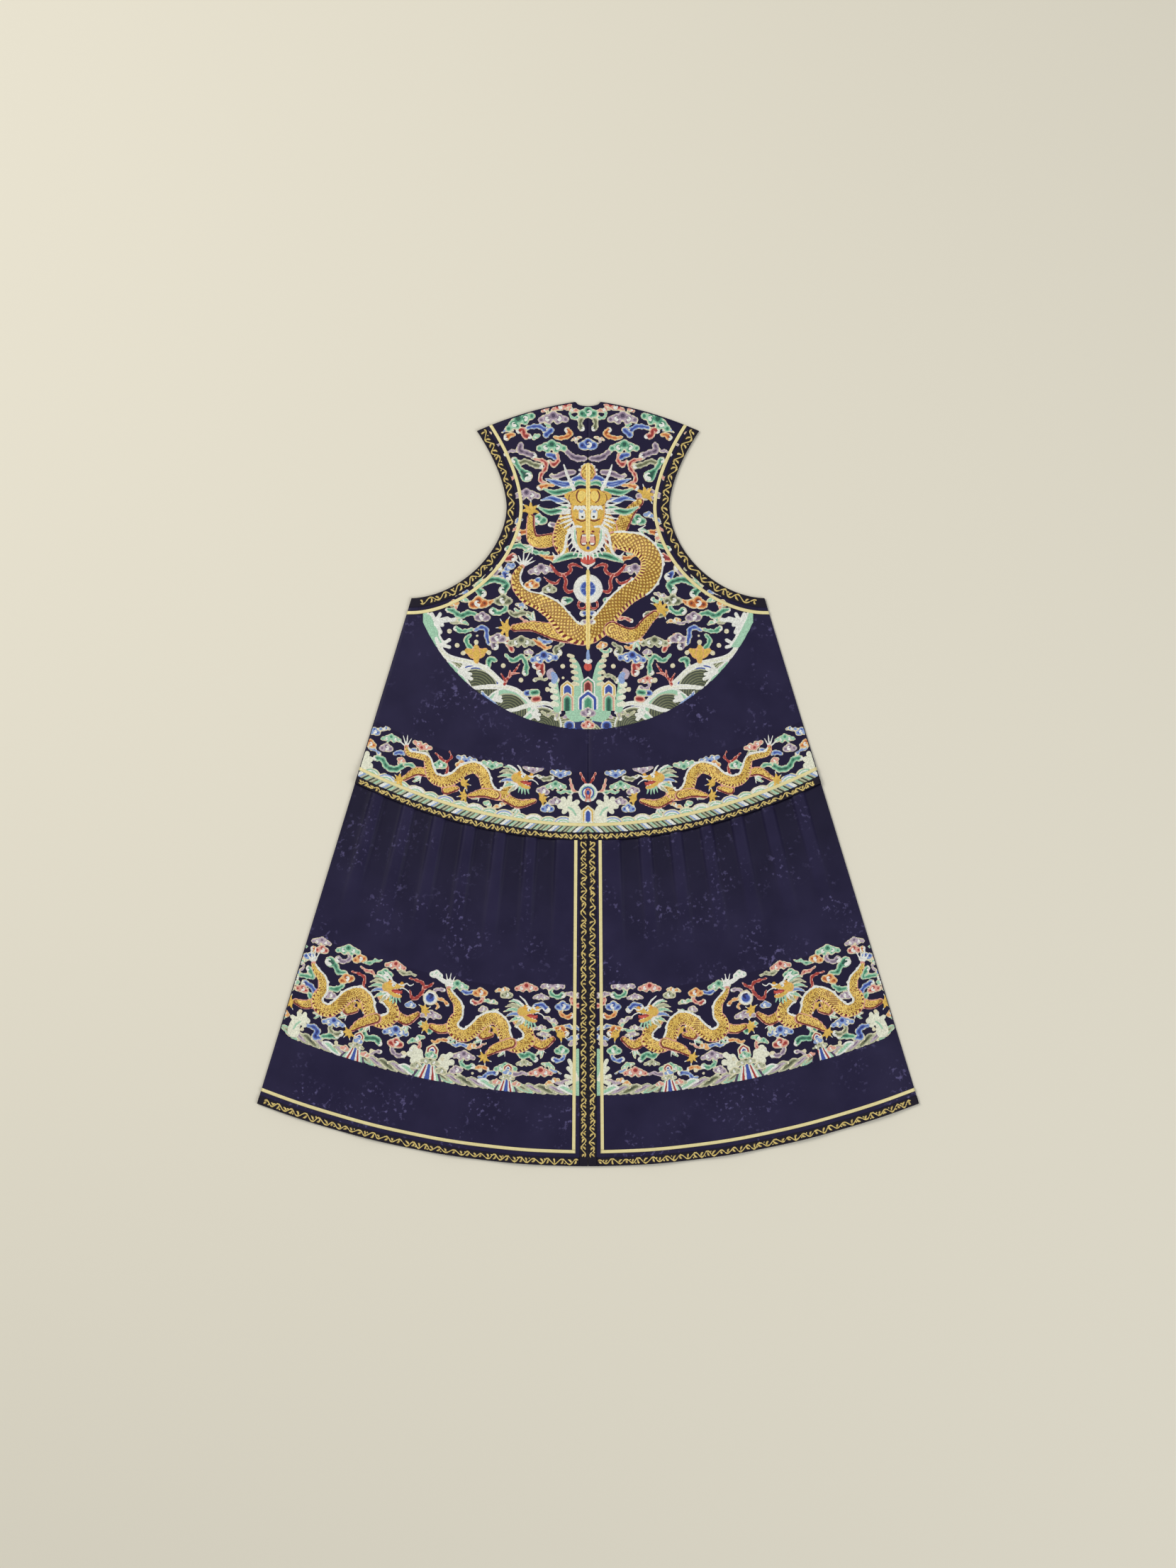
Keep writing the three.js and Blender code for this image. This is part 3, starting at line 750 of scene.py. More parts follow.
def pearl_and_ribbons(ground):
    for view in ground.halves():
        for rows in RED_RIBBONS:
            view.brush(rows, "flame")
        turns = np.linspace(-2.6, 3.0, 9)
        ring = [(10.5 + 7.5 * math.cos(t), 369 + 7.5 * math.sin(t), 2.3) for t in turns]
        view.brush(ring, "flame")
        ribbon(view, "blue", ((3, 384, 3.2), (10, 385, 6.5)))
        ribbon(view, "mauve", ((3, 400, 2.6), (9, 400, 5)))
    view = ground.view()
    view.disc(*PEARL, 26.5, "white", 1.6)
    view.disc(*PEARL, 22, "white", 2.4)
    view.disc(*PEARL, 14.5, "pale_blue", 2.6)
    view.disc(*PEARL, 13, "blue", 2.7)
    turns = np.arange(0, 6.2, 0.63)
    tips = [(PEARL[0] + 12 * math.cos(t), PEARL[1] + 12 * math.sin(t)) for t in turns]
    spikes(view, [(PEARL, tip) for tip in tips], 0.6, "pale_blue", 2.8)
    view.disc(*PEARL, 4, "ink", 2.9)
    for u, v, half, tall in ((0, 287, 8, 9), (-8, 289, 5.5, 7), (8, 289, 5.5, 7)):
        petal = np.flatnonzero(np.hypot((view.u - u) / half, (view.v - v) / tall) < 1)
        view.lay(petal, "coral", 1.7)
    for hand in (-1, 1):
        view.line(((0, 299, 1.8), (7 * hand, 297, 2.0), (13 * hand, 292, 1.0)), "white", 1.9)
        view.line(((0, 276, 1.6), (6 * hand, 279, 1.6), (11 * hand, 284, 1.0)), "white", 1.9)
    view.line(((0, 300, 2.2), (0, 308, 1.6)), "white", 1.9)


def front_dragon(ground):
    view = ground.view()
    for u, v, heading in ((-100, 262, 2.4), (92, 232, 0.2), (-96, 398, -2.6), (84, 434, 0.9)):
        tuft(view, u, v, heading, 1.2)
    *behind, before = FRONT_LEGS
    legs(view, behind, 0.9, 1.45)
    tail = ((-134, 286), (-127, 279), (-117, 274), (-106, 274), (-98, 280), (-95, 288))
    spikes(view, [((-118, 299), tip) for tip in tail], 1.9, "white", 1.0)
    scaled_limb(view, FRONT_NECK, belly=1, lift=1.0)
    scaled_limb(view, FRONT_SHOULDER, lift=0.8)
    scaled_limb(view, FRONT_BODY, belly=-1, fins=1, lift=1.5, flip_at=0.3)
    legs(view, [before], 1.2, 1.45)
    pearl_and_ribbons(ground)
    front_head(ground)


# Clouds, as x, down, size, turn, colour and head, and for some also the tail and its colour.
# Both halves of the yoke have the first table's.
YOKE_CLOUDS = (
    (48, 9, 6.5, 0.3, "red", "low"), (63, 31, 8.2, 0.02, "mauve", "wide"),
    (124, 36, 8.8, 0.5, "green", "wide"), (66, 83, 8.2, 0, "green", "wide"),
    (112, 170, 7.5, 0, "mauve", "wide"), (90, 216, 7.0, 0.1, "green", "round"),
    (85, 306, 7.2, 0.1, "mauve", "wide"), (102, 333, 6.0, 0, "orange", "round"),
    (70, 341, 5.8, 0, "olive", "round"), (154, 362, 7.2, 0, "olive", "round", "hook", "green"),
    (121, 438, 7.4, 0, "olive", "wide"), (80, 466, 7.8, 0.1, "blue", "wide"),
    (199, 367, 8.0, 0.1, "orange", "round"), (192, 392, 6.4, 0, "mauve", "round"),
    (164, 431, 6.4, 0, "mauve", "round"),
)
YOKE_RIBBONS = (
    ("green", "last", (204, 386, 4), (218, 384, 6), (232, 389, 6), (246, 380, 5.5), (256, 378, 4)),
    ("orange", "none", (182, 367, 5), (173, 362, 4), (164, 362, 2)),
    ("green", "last", (210, 413, 3), (218, 416, 4), (231, 417, 4.6), (240, 412, 6)),
    ("green", "last", (214, 424, 3.4), (221, 431, 5), (219, 441, 5), (210, 450, 5.6)),
    ("blue", "last", (206, 416, 3), (194, 410, 5), (185, 414, 5), (184, 427, 5), (179, 438, 6)),
    ("mauve", "none", (5, 103, 4.5), (14, 103, 6.5), (26, 101, 6.5), (38, 91, 5)),
    ("blue", "both", (76, 53, 5.5), (88, 45, 5), (100, 45, 5), (112, 48, 3.5)),
    ("blue", "none", (66, 51, 5.5), (76, 60, 6)),
    ("green", "none", (70, 44, 3.2), (78, 40, 3)),
    ("olive", "last", (4, 24, 3.5), (13, 34, 5), (14, 42, 5), (11, 49, 6.2)),
    ("orange", "last", (62, 64, 2.6), (50, 66, 4.5), (32, 60, 5), (38, 51, 6)),
    ("red", "both", (126, 53, 5.6), (118, 50, 5), (116, 61, 6), (107, 63, 6)),
    ("orange", "last", (134, 60, 3.5), (142, 60, 5), (148, 65, 6.2)),
    ("blue", "none", (136, 52, 2), (146, 50, 3.6), (156, 56, 2)),
    ("mauve", "last", (122, 78, 5.5), (124, 88, 6.5), (112, 93, 6), (99, 98, 6.5)),
    ("olive", "both", (128, 114, 6.2), (114, 108, 5), (100, 114, 5.5), (87, 117, 6)),
    ("red", "none", (98, 104, 2.5), (80, 108, 4.5), (76, 119, 4.5), (86, 134, 4.2), (85, 145, 4.2),
     (73, 149, 2.5)),
    ("blue", "last", (74, 96, 4.5), (64, 98, 6), (56, 104, 5)),
    ("red", "last", (56, 94, 2.5), (54, 106, 4), (62, 114, 5.6), (70, 108, 3)),
    ("green", "both", (134, 106, 6.5), (124, 122, 5), (112, 135, 11)),
    ("orange", "last", (62, 152, 2.5), (74, 152, 4), (88, 156, 5.4)),
    ("mauve", "last", (58, 141, 4), (66, 134, 5)),
    ("mauve", "last", (60, 224, 3.5), (68, 223, 6)),
    ("orange", "last", (112, 236, 4), (124, 238, 7)),
    ("green", "first", (148, 268, 5), (128, 261, 5), (110, 266, 5.2), (94, 274, 4.6), (72, 275, 3)),
    ("red", "last", (150, 286, 5), (137, 283, 8.4)),
    ("orange", "first", (62, 285, 5.5), (76, 283, 4), (86, 279, 2)),
    ("blue", "none", (88, 322, 3.5), (93, 325, 5.5)),
    ("blue", "last", (154, 310, 4), (147, 318, 9)),
    ("mauve", "last", (170, 314, 4), (162, 302, 6.5)),
    ("green", "both", (192, 349, 8), (202, 338, 6), (187, 328, 6.5), (172, 323, 6.5), (158, 326, 6.5),
     (147, 332, 6), (154, 342, 8.5)),
    ("green", "last", (30, 360, 4), (41, 362, 8.5)),
    ("olive", "last", (142, 382, 4), (134, 388, 5), (118, 384, 5), (104, 388, 6)),
    ("red", "last", (160, 424, 4.5), (152, 432, 7.5)),
    ("mauve", "last", (176, 430, 4), (169, 445, 7.5)),
    ("red", "last", (138, 452, 5), (147, 436, 6)),
    ("orange", "none", (100, 433, 3), (90, 439, 5), (76, 448, 4), (66, 444, 2)),
    ("blue", "none", (66, 436, 2.5), (78, 437, 4.5), (90, 430, 2.5)),
    ("olive", "last", (46, 440, 4), (60, 450, 5), (54, 456, 7.5)),
    ("green", "last", (150, 460, 3), (136, 471, 5), (121, 463, 5), (112, 478, 5), (114, 492, 6.5)),
    ("red", "both", (96, 480, 6.5), (84, 478, 5), (86, 492, 8)),
    ("green", "last", (168, 470, 4), (178, 468, 6), (182, 480, 5.5)),
    ("mauve", "last", (64, 492, 4), (58, 506, 6)),
    ("red", "none", (100, 404, 2), (112, 400, 3.4), (124, 392, 2)),
)
CENTRE_CLOUDS = (
    (0, 21, 7.6, 0, "green", "round"), (0, 79, 7.6, 0, "blue", "round"),
)


SPRAY = ("green", "blue", "red", "mauve", "orange", "olive", "green", "mauve")
SWAY = ((-3.2, -0.7, 0.3), (-1.9, 0.2, 0.62), (-0.6, -0.3, 0.66), (0.6, -0.1, 0.62), (1.9, 0.5, 0.85))


def bare(view, u, v, half, tall):
    """Whether the cloth round a place is still bare."""
    near = (np.abs(view.u - u) < half) & (np.abs(view.v - v) < tall)
    covered = view.ground.thread[view.cells[near]]
    return covered.size > 0 and np.mean(covered != BARE) < MOSTLY_BARE


def bubbles(view, count, seed, low, high, keep, radii):
    """Cream drops strewn over the bare ground."""
    draw = np.random.default_rng(seed)
    for _ in range(count):
        u, v, radius = draw.uniform(low[0], high[0]), draw.uniform(low[1], high[1]), draw.uniform(*radii)
        if bare(view, u, v, radius + 3, radius + 3) and keep(u, v):
            view.disc(u, v, radius, "cream", 0.9)


def fill_clouds(view, count, seed, low, high, keep, sizes):
    """Clouds wherever the ground is still bare."""
    draw = np.random.default_rng(seed)
    for _ in range(count):
        u, v, size = draw.uniform(low[0], high[0]), draw.uniform(low[1], high[1]), draw.uniform(*sizes)
        turn, tint, tail_tint = draw.uniform(-0.5, 0.5), draw.choice(SPRAY), draw.choice(SPRAY)
        form = draw.choice(("wide", "round", "low", "sway"))
        tail = draw.choice(("wisp", "hook", "stem", ""))
        if bare(view, u, v, 2.0 * size, size) and keep(u, v):
            small = view.ground.view(u, v, turn, size, view.mirror, 7, behind=True)
            if form == "sway":
                ribbon(small, tint, SWAY)
            else:
                cloud(small, tint, form, tail, tail_tint)


def clouds(ground, table, mirrors):
    for x, down, size, turn, tint, head, *tail in table:
        for mirror in mirrors:
            cloud(ground.view(x, down, turn, CLOUD_SIZE * size, mirror, 7), tint, head, *tail)


# Waves, rocks and foam
def rings(view, u, v, radius, threads, width, within):
    """A swell as rings of thread round its middle. The last two threads repeat to the middle."""
    depth = radius - np.hypot(view.u - u, view.v - v)
    at = np.flatnonzero((depth > 0) & within)
    step = (depth[at] / width).astype(int)
    last = len(threads) - 2
    step = np.where(step < last, step, last + (step - last) % 2)
    shades = threads_of(threads)[step]
    angle = np.arctan2(view.v[at] - v, view.u[at] - u) + math.pi / 2
    view.lay(at, shades, 0.5 + 0.4 * np.clip(depth[at] / radius, 0, 1), angle)


def fingers(view, root, tips, radius=3.0, thread="white"):
    """Thick fingers of foam from a root, with round ends."""
    for tip in tips:
        view.line(((*root, radius * 0.9), (*tip, radius)), thread, 1.1)
        view.disc(*tip, radius * 1.1, thread, 1.2)


def foam(view, u, v, hand, size=1.0):
    """A hand of foam that rises to one side."""
    small = view.ground.view(u, v, 0, size, view.mirror, 40)
    body = [(hand * a, b, r) for a, b, r in ((0, 4, 9), (2, -7, 8), (9, -13, 6), (18, -15, 4))]
    small.line(body, "froth", 1.0)
    tips = [(hand * a, b) for a, b in ((22, -12), (17, -22), (8, -24), (-2, -18), (16, -5))]
    fingers(small, (hand * 9, -12), tips, 3.2, "froth")
    small.line([(hand * a, b, 1.3) for a, b in ((0, 0), (4, -7), (10, -11))], "mint", 1.2)


def peak(view, u, top, bottom, half, threads, width=3.0, slope=0.8):
    """A rock as nested chevrons."""
    aside = np.abs(view.u - u)
    depth = np.minimum(half - aside, (view.v - top - slope * aside) / math.hypot(1, slope))
    at = np.flatnonzero((depth > 0) & (view.v < bottom))
    step = np.minimum((depth[at] / width).astype(int), len(threads) - 1)
    shades = threads_of(threads)[step]
    view.lay(at, shades, 0.6 + 0.5 * np.clip(depth[at] / half, 0, 1))


def fan(view, u, top, bottom, half_top, half_bottom, threads):
    """Stripes that spread downwards, from the middle outwards."""
    share = np.clip((view.v - top) / (bottom - top), 0, 1)
    wide = mix(half_top, half_bottom, share)
    aside = np.abs(view.u - u)
    at = np.flatnonzero((view.v > top) & (view.v < bottom) & (aside < wide))
    step = (aside[at] / wide[at] * len(threads)).astype(int)
    view.lay(at, threads_of(threads)[step], 0.7, math.pi / 2)


LEAVES = ("mist", "shadow", "olive", "shadow", "foam", "shadow", "olive")
LEAF = ((0, 13, 2.5), (9, 14, 5.5), (20, 9, 6.2), (31, 4, 4.5), (40, 1.5, 1.5))
LEAF_PITCH = 21
ROPE_FROM_CENTRE, ROPE_SPAN = 600, (20, 590)


def rope(view):
    """Leaf-shaped twists of water along the lower band's edge, from the side to the vent."""
    for i, along in enumerate(np.arange(*ROPE_SPAN, LEAF_PITCH)):
        rows = [(*band_edge(ROPE_FROM_CENTRE - along - a, b), radius) for a, b, radius in LEAF]
        view.brush(rows, LEAVES[i % len(LEAVES)], 0.6, 4)


YOKE_CREST = (
    (300, 396), (290, 404), (271, 443), (262, 460), (240, 469), (213, 474), (194, 481), (178, 491),
    (160, 508), (145, 520), (128, 526), (116, 536), (105, 547), (91, 549), (72, 549), (58, 556),
    (30, 556), (0, 560),
)
CRESTS = (
    ((221, 522, 2.5), (194, 519, 3.6), (165, 518, 4.2), (145, 520, 4.6), (128, 526, 4.6), (116, 536, 4),
     (104, 549, 3)),
    ((276, 430, 3), (271, 443, 4.2), (264, 456, 5.2), (254, 464, 5.4), (238, 469, 5), (213, 474, 4.6),
     (194, 481, 4.6), (178, 491, 4.6), (165, 503, 4.6), (152, 515, 3.5)),
    ((154, 562, 2.5), (134, 560, 3.4), (112, 553, 3.8), (91, 549, 4), (72, 549, 4), (60, 556, 3.4),
     (50, 566, 2.4)),
)
SPOUTS = (
    (((255, 469, 2), (250, 480, 6.5), (240, 493, 9.5), (229, 508, 9.5), (217, 518, 5)), "foam",
     (235, 492), ((224, 478), (217, 486), (214, 495), (212, 504))),
    (((193, 527, 2), (188, 538, 5.5), (176, 550, 8), (158, 562, 4)), "azure",
     (172, 541), ((165, 530), (160, 537), (158, 544))),
    (((96, 556, 3), (102, 568, 6.5), (114, 577, 5.5), (128, 582, 2)), "foam",
     (101, 567), ((93, 562), (89, 569), (90, 577))),
)
SCROLL = ((84, 563, 2.4), (74, 570, 3.6), (64, 565, 3.6), (56, 566, 3.8), (58, 576, 4.6))


# Swells, as the middle, the radius, the rings' width and their threads inwards
SWELLS = (
    (268, 520, 70, 2.0, ("white", "blue", "white", "blue", "mint", "stone", "olive", "stone")),
    (120, 610, 70, 2.0, ("blue", "stone", "blue", "lilac", "olive", "stone", "olive", "stone")),
    (30, 640, 70, 2.0, ("stone", "olive", "stone", "olive")),
    (205, 528, 52, 2.4, ("white", "blue", "white", "blue", "stone", "moss", "olive")),
    (146, 566, 46, 2.4, ("white", "mint", "mint", "mint", "stone", "moss", "olive")),
    (84, 590, 36, 1.9, ("white", "stone", "olive", "moss", "olive")),
)


def yoke_crest(u):
    rows = np.array(YOKE_CREST[::-1], float)
    return np.interp(np.abs(u), rows[:, 0], rows[:, 1])


def yoke_sea(ground):
    for view in ground.halves():
        under = view.v > yoke_crest(view.u)
        for u, v, radius, width, threads in SWELLS:
            rings(view, u, v, radius, threads, width, under)
        rim = YOKE_RADIUS - np.hypot(view.u, view.v - YOKE_CENTRE)
        band = np.flatnonzero((rim < 17) & (view.v > 382) & (view.v < 446))
        view.lay(band, "white", 0.9, 1.1)
        view.lay(band[rim[band] < 13], "mint", 0.9, 1.1)
        view.line(((288, 393, 6), (281, 402, 9), (279, 418, 7), (277, 436, 5)), "mint", 0.9)
        tips = ((284, 386), (269, 386), (255, 397), (243, 396), (265, 406), (268, 419))
        fingers(view, (277, 400), tips, 3.4)
        view.line(((276, 404, 5), (266, 398, 5), (256, 394, 4)), "white", 1.1)
        fingers(view, (267, 442), ((252, 433), (252, 446)), 3.2)
        for rows in CRESTS:
            view.brush(rows, "crest", 0.9, 5)
        for rows, tint, root, tips in SPOUTS:
            view.brush(rows, tint, 0.9, 5)
            fingers(view, root, tips)
        ribbon(view, "shadow", SCROLL)
        ribbon(view, "mauve", [(u - 31, v + 4, radius) for u, v, radius in SCROLL[1:]])
        for u, v, radius in ((16, 588, 13), (34, 589, 10)):
            view.pad(((u - 0.5, v, radius), (u + 0.5, v, radius)), "blue", 0.9)
    cloud(ground.view(0, 588, 0, 6.5, reach=7), "red", "round")


def fountain(ground):
    """The rocks at the middle of the yoke's sea, with water rising behind them."""
    for view in ground.halves():
        view.line(((56, 558, 7), (57, 535, 6), (60, 512, 5)), "mint", 0.8)
        for u, v in ((63, 549), (64, 537), (65, 525), (67, 514)):
            view.line(((u - 7, v + 2, 4), (u, v, 5)), "froth", 1.0)
        view.line(((62, 508, 5), (60, 500, 5), (66, 494, 4)), "pale_blue", 0.9)
        view.line(((69, 502, 3.4), (72, 493, 4), (66, 487, 3.2)), "lilac", 1.0)
        view.line(((20, 560, 22), (18, 530, 15), (17, 500, 8), (21, 480, 6), (29, 465, 3)), "mint", 0.9)
        for u, v in ((35, 461), (31, 470), (30, 480), (28, 491), (27, 502), (26, 512)):
            view.line(((u - 8, v + 2, 3), (u, v, 3.6)), "cream", 1.1)
        peak(view, 37.6, 506, 536, 13, ("cream", "gold", "white", "blue"), 2.2)
        peak(view, 37.6, 527, 562, 12, ("cream", "rose", "mint", "green", "pine"), 2.2)
    view = ground.view()
    peak(view, 0, 499, 535, 13, ("white", "green", "rose", "wine"), 2.6)
    peak(view, 0, 523, 560, 18, ("white", "blue", "blue", "white", "mint", "green"), 2.4)
    view.disc(0, 482, 7.6, "coral", 1.3)
    fingers(view, (0, 474), ((-5, 471), (5, 471)), 3.2)
    view.line(((0, 452, 2.5), (0, 466, 3.5)), "pale_blue", 1.1)
    cloud(ground.view(0, 566, 0, 7.2, reach=7), "mauve", "round")


CORAL = (
    ((152, 514, 3), (146, 503, 2.8), (135, 492, 2.6), (124, 476, 1.4)),
    ((150, 508, 2.8), (158, 494, 1.6)),
    ((143, 500, 2.4), (142, 488, 1.4)),
    ((138, 494, 2.2), (124, 493, 1.2)),
)
DROPS = (
    (252, 417), (238, 443), (203, 437), (227, 457), (180, 456), (154, 480), (122, 506), (74, 523),
    (46, 481),
)


def jewels(ground):
    for view in ground.halves():
        view.pad(((196, 458, 9), (210, 458, 9)), "gold", 0.9)
        for u, v in ((186, 452), (221, 453), (203, 445), (203, 472)):
            view.pad(((203, 458, 8), (u, v, 4.5)), "gold", 0.9)
        for branch in CORAL:
            view.brush(branch, "flame")
        for u, v, tint in ((108, 529, "blue"), (97, 528, "green"), (94, 540, "red")):
            view.pad(((u - 4, v, 6.5), (u + 4, v + 1, 6.5)), tint, 0.8, 3)
        for u, v in DROPS:
            view.disc(u, v, 4.6, "cream", 1.0)


# The grounds that are embroidered
CELL = 1.15


def flat_ground(left, right, top, bottom, shown):
    columns = np.arange(left, right + CELL / 2, CELL)
    rows = np.arange(top, bottom + CELL / 2, CELL)
    return Ground(*np.meshgrid(columns, rows), shown=shown)


def shoulder_down(x):
    """The shoulder line of the back with its shallow neck."""
    line_x, line_down = bodice_place(np.linspace(0, 1, 400), np.zeros(400), NECK_DIP)
    return np.interp(np.abs(x), line_x, line_down)


def armhole_inset(x, down):
    """Distance in from the nearer armhole."""
    found = np.full(x.shape, 1e3)
    for at_x, at_down in zip(*armhole_line(140)[:2]):
        found = np.minimum(found, np.hypot(np.abs(x) - at_x, down - at_down))
    return np.where((down < UNDERARM_DOWN) & (np.abs(x) > armhole_half(down)), -1, found)


def in_yoke(x, down):
    inside = np.hypot(x, down - YOKE_CENTRE) < YOKE_RADIUS
    inside &= down > shoulder_down(x) + 2
    return inside & (armhole_inset(x, down) > ARMHOLE_EDGING + EDGING_MARGIN)


def in_waist_band(x, down):
    seam_x, seam = waist_place(np.linspace(0, 1, 300), WAIST_EDGING + EDGING_MARGIN)
    inside = np.hypot(x, down - WAIST_BAND_CENTRE) > WAIST_BAND_TOP - 4
    inside &= down < np.interp(np.abs(x), seam_x, seam)
    return inside & (np.abs(x) < side_half(down) - SIDE_MARGIN) & (np.abs(x) > 0.1)


def in_lower_band(x, down):
    out = np.hypot(x, down - BAND_CENTRE)
    inside = (out > BAND_TOP - 12) & (out < BAND_BOTTOM)
    return inside & (np.abs(x) > VENT_EDGING + 1) & (np.abs(x) < side_half(down) - SIDE_MARGIN)


# The upper and lower end of each stretch of gold cord down the middle of the yoke
CORDS = ((114, 252), (308, 448))
FOAM_TIP = (236, 376)


def above_yoke_sea(u, v):
    in_foam = abs(u) > FOAM_TIP[0] and v > FOAM_TIP[1]
    return v < yoke_crest(u) - 10 and not in_foam


def stitch_yoke():
    ground = flat_ground(-300, 300, 0, 598, in_yoke)
    for view in ground.halves():
        for tint, ends, *rows in YOKE_RIBBONS:
            ribbon(view, tint, rows, ends)
    clouds(ground, YOKE_CLOUDS, (False, True))
    clouds(ground, CENTRE_CLOUDS, (False,))
    yoke_sea(ground)
    fountain(ground)
    jewels(ground)
    front_dragon(ground)
    for view in ground.halves():
        fill_clouds(view, 420, seed=5, low=(8, 10), high=(300, 545), keep=above_yoke_sea, sizes=(4.2, 6.4))
        bubbles(view, 60, seed=11, low=(8, 380), high=(300, 545), keep=above_yoke_sea, radii=(2.6, 3.6))
    for top, bottom in CORDS:
        ground.view().line([(0, top, 3.2), (0, bottom, 3.2)], "cord", 2.4)
    return ground


WAIST_CLOUDS = (
    (-389, 600, 5.2, 0.2, "blue", "round"), (-358, 613, 5.6, 0.1, "green", "wide"),
    (-397, 622, 5.6, 0.3, "orange", "round"), (-367, 630, 5.6, 0.1, "mauve", "round"),
    (-301, 625, 5.6, 3.5, "red", "wide"), (-270, 661, 5.8, 0, "green", "round"),
    (-221, 650, 5.8, 3.35, "blue", "wide"), (-230, 660, 5.0, 0, "orange", "round", "wisp", "orange"),
    (-174, 659, 5.8, 3.3, "green", "wide"), (-100, 667, 5.6, 3.25, "mauve", "wide"),
    (-50, 675, 5.8, 3.2, "blue", "wide"), (-59, 699, 6.0, 0, "green", "wide"),
    (-82, 708, 5.4, 0.2, "mauve", "round"), (-59, 727, 5.4, 0, "mauve", "round"),
    (-74, 740, 5.6, 0, "blue", "round"),
)
WAIST_RIBBONS = (
    ("green", "first", (-386, 648, 5.5), (-374, 650, 5.8), (-365, 664, 6.2), (-350, 668, 6.4),
     (-338, 662, 6)),
    ("green", "none", (-334, 660, 3), (-322, 660, 4.5), (-312, 668, 3)),
    ("blue", "none", (-352, 640, 3.5), (-342, 637, 5), (-334, 642, 3)),
    ("blue", "none", (-322, 634, 3), (-314, 633, 4.8)),
    ("olive", "none", (-305, 634, 3), (-296, 636, 4.6), (-290, 646, 3)),
    ("flame", "none", (-278, 638, 1.5), (-268, 648, 2.8), (-258, 658, 3), (-256, 672, 2.8),
     (-262, 684, 1.5)),
    ("flame", "none", (-258, 656, 2.6), (-248, 646, 2.4), (-252, 636, 1.5)),
    ("olive", "last", (-92, 680, 3), (-80, 686, 4.4), (-66, 684, 5)),
    ("red", "none", (-33, 684, 1.5), (-31, 694, 3), (-27, 706, 3.2), (-18, 710, 2)),
    ("flame", "none", (-14, 674, 1.5), (-10, 684, 2.6), (-4, 694, 2.4), (0, 700, 1.5)),
)
WAIST_STRIPES = (
    "white", "white", "pale_blue", "stone", "moss", "mint", "stone", "moss", "stone", "olive", "mint",
    "stone", "moss",
)
MOUND, MOUND_THREADS = 27, ("mint", "white", "mint", "pale_blue")
FLAME = ((1, 716, 1.6), (5, 710, 2.2), (-1, 704, 2), (-5, 710, 1.8), (-2, 718, 2.2), (-4, 727, 1.4))


def stitch_waist():
    ground = flat_ground(-470, 0, 560, 800, in_waist_band)
    whole = ground.view()
    seam_x, seam = waist_place(np.linspace(0, 1, 300), 0.0)
    above = np.interp(-whole.u, seam_x, seam) - whole.v
    for tint, ends, *rows in WAIST_RIBBONS:
        ribbon(whole, tint, rows, ends)
    clouds(ground, WAIST_CLOUDS, (False,))
    for i, u in enumerate(np.arange(-450, 10, MOUND)):
        v = float(np.interp(-u, seam_x, seam)) - WAIST_PIPING
        size = 20 + 2 * (i % 2)
        inside = (above > WAIST_PIPING) & (above < WAIST_PIPING + PIPING_WIDE + 12)
        threads = ("cream", MOUND_THREADS[i % len(MOUND_THREADS)], "white", "mint")
        rings(whole, u, v + 4, size, threads, 2.2, inside)
    low = np.flatnonzero(above < WAIST_PIPING + 1)
    order = np.floor((whole.u[low] - 1.1 * above[low]) / 3.4).astype(int) % len(WAIST_STRIPES)
    whole.lay(low, threads_of(WAIST_STRIPES)[order], 0.6, -0.8)
    fingers(whole, (-412, 664), ((-402, 640), (-396, 650), (-396, 662)), 5, "froth")
    foam(whole, -22, 752, -1, 1.35)
    peak(whole, 0, 733, 764, 12, ("cream", "gold", "white", "blue"), 2.6)
    walking_dragon(ground.view(-226, 689, 0, 1, reach=190), WAIST_DRAGON)
    centre = ground.view()
    for radius, thread in ((17, "white"), (13.5, "mint"), (11.5, "blue"), (9, "white"), (6.5, "blue")):
        centre.disc(0, 711, radius, thread, 2.2 - radius / 16)
    centre.brush(FLAME, "flame")
    fill_clouds(whole, 1500, seed=21, low=(-440, 560), high=(-6, 770), keep=in_waist_sky, sizes=(4.0, 5.8))
    bubbles(whole, 60, seed=23, low=(-440, 600), high=(-6, 770), keep=in_waist_sky, radii=(2.8, 3.8))
    return ground


def in_waist_sky(u, v):
    return math.hypot(u, v - WAIST_BAND_CENTRE) > WAIST_BAND_TOP + 5


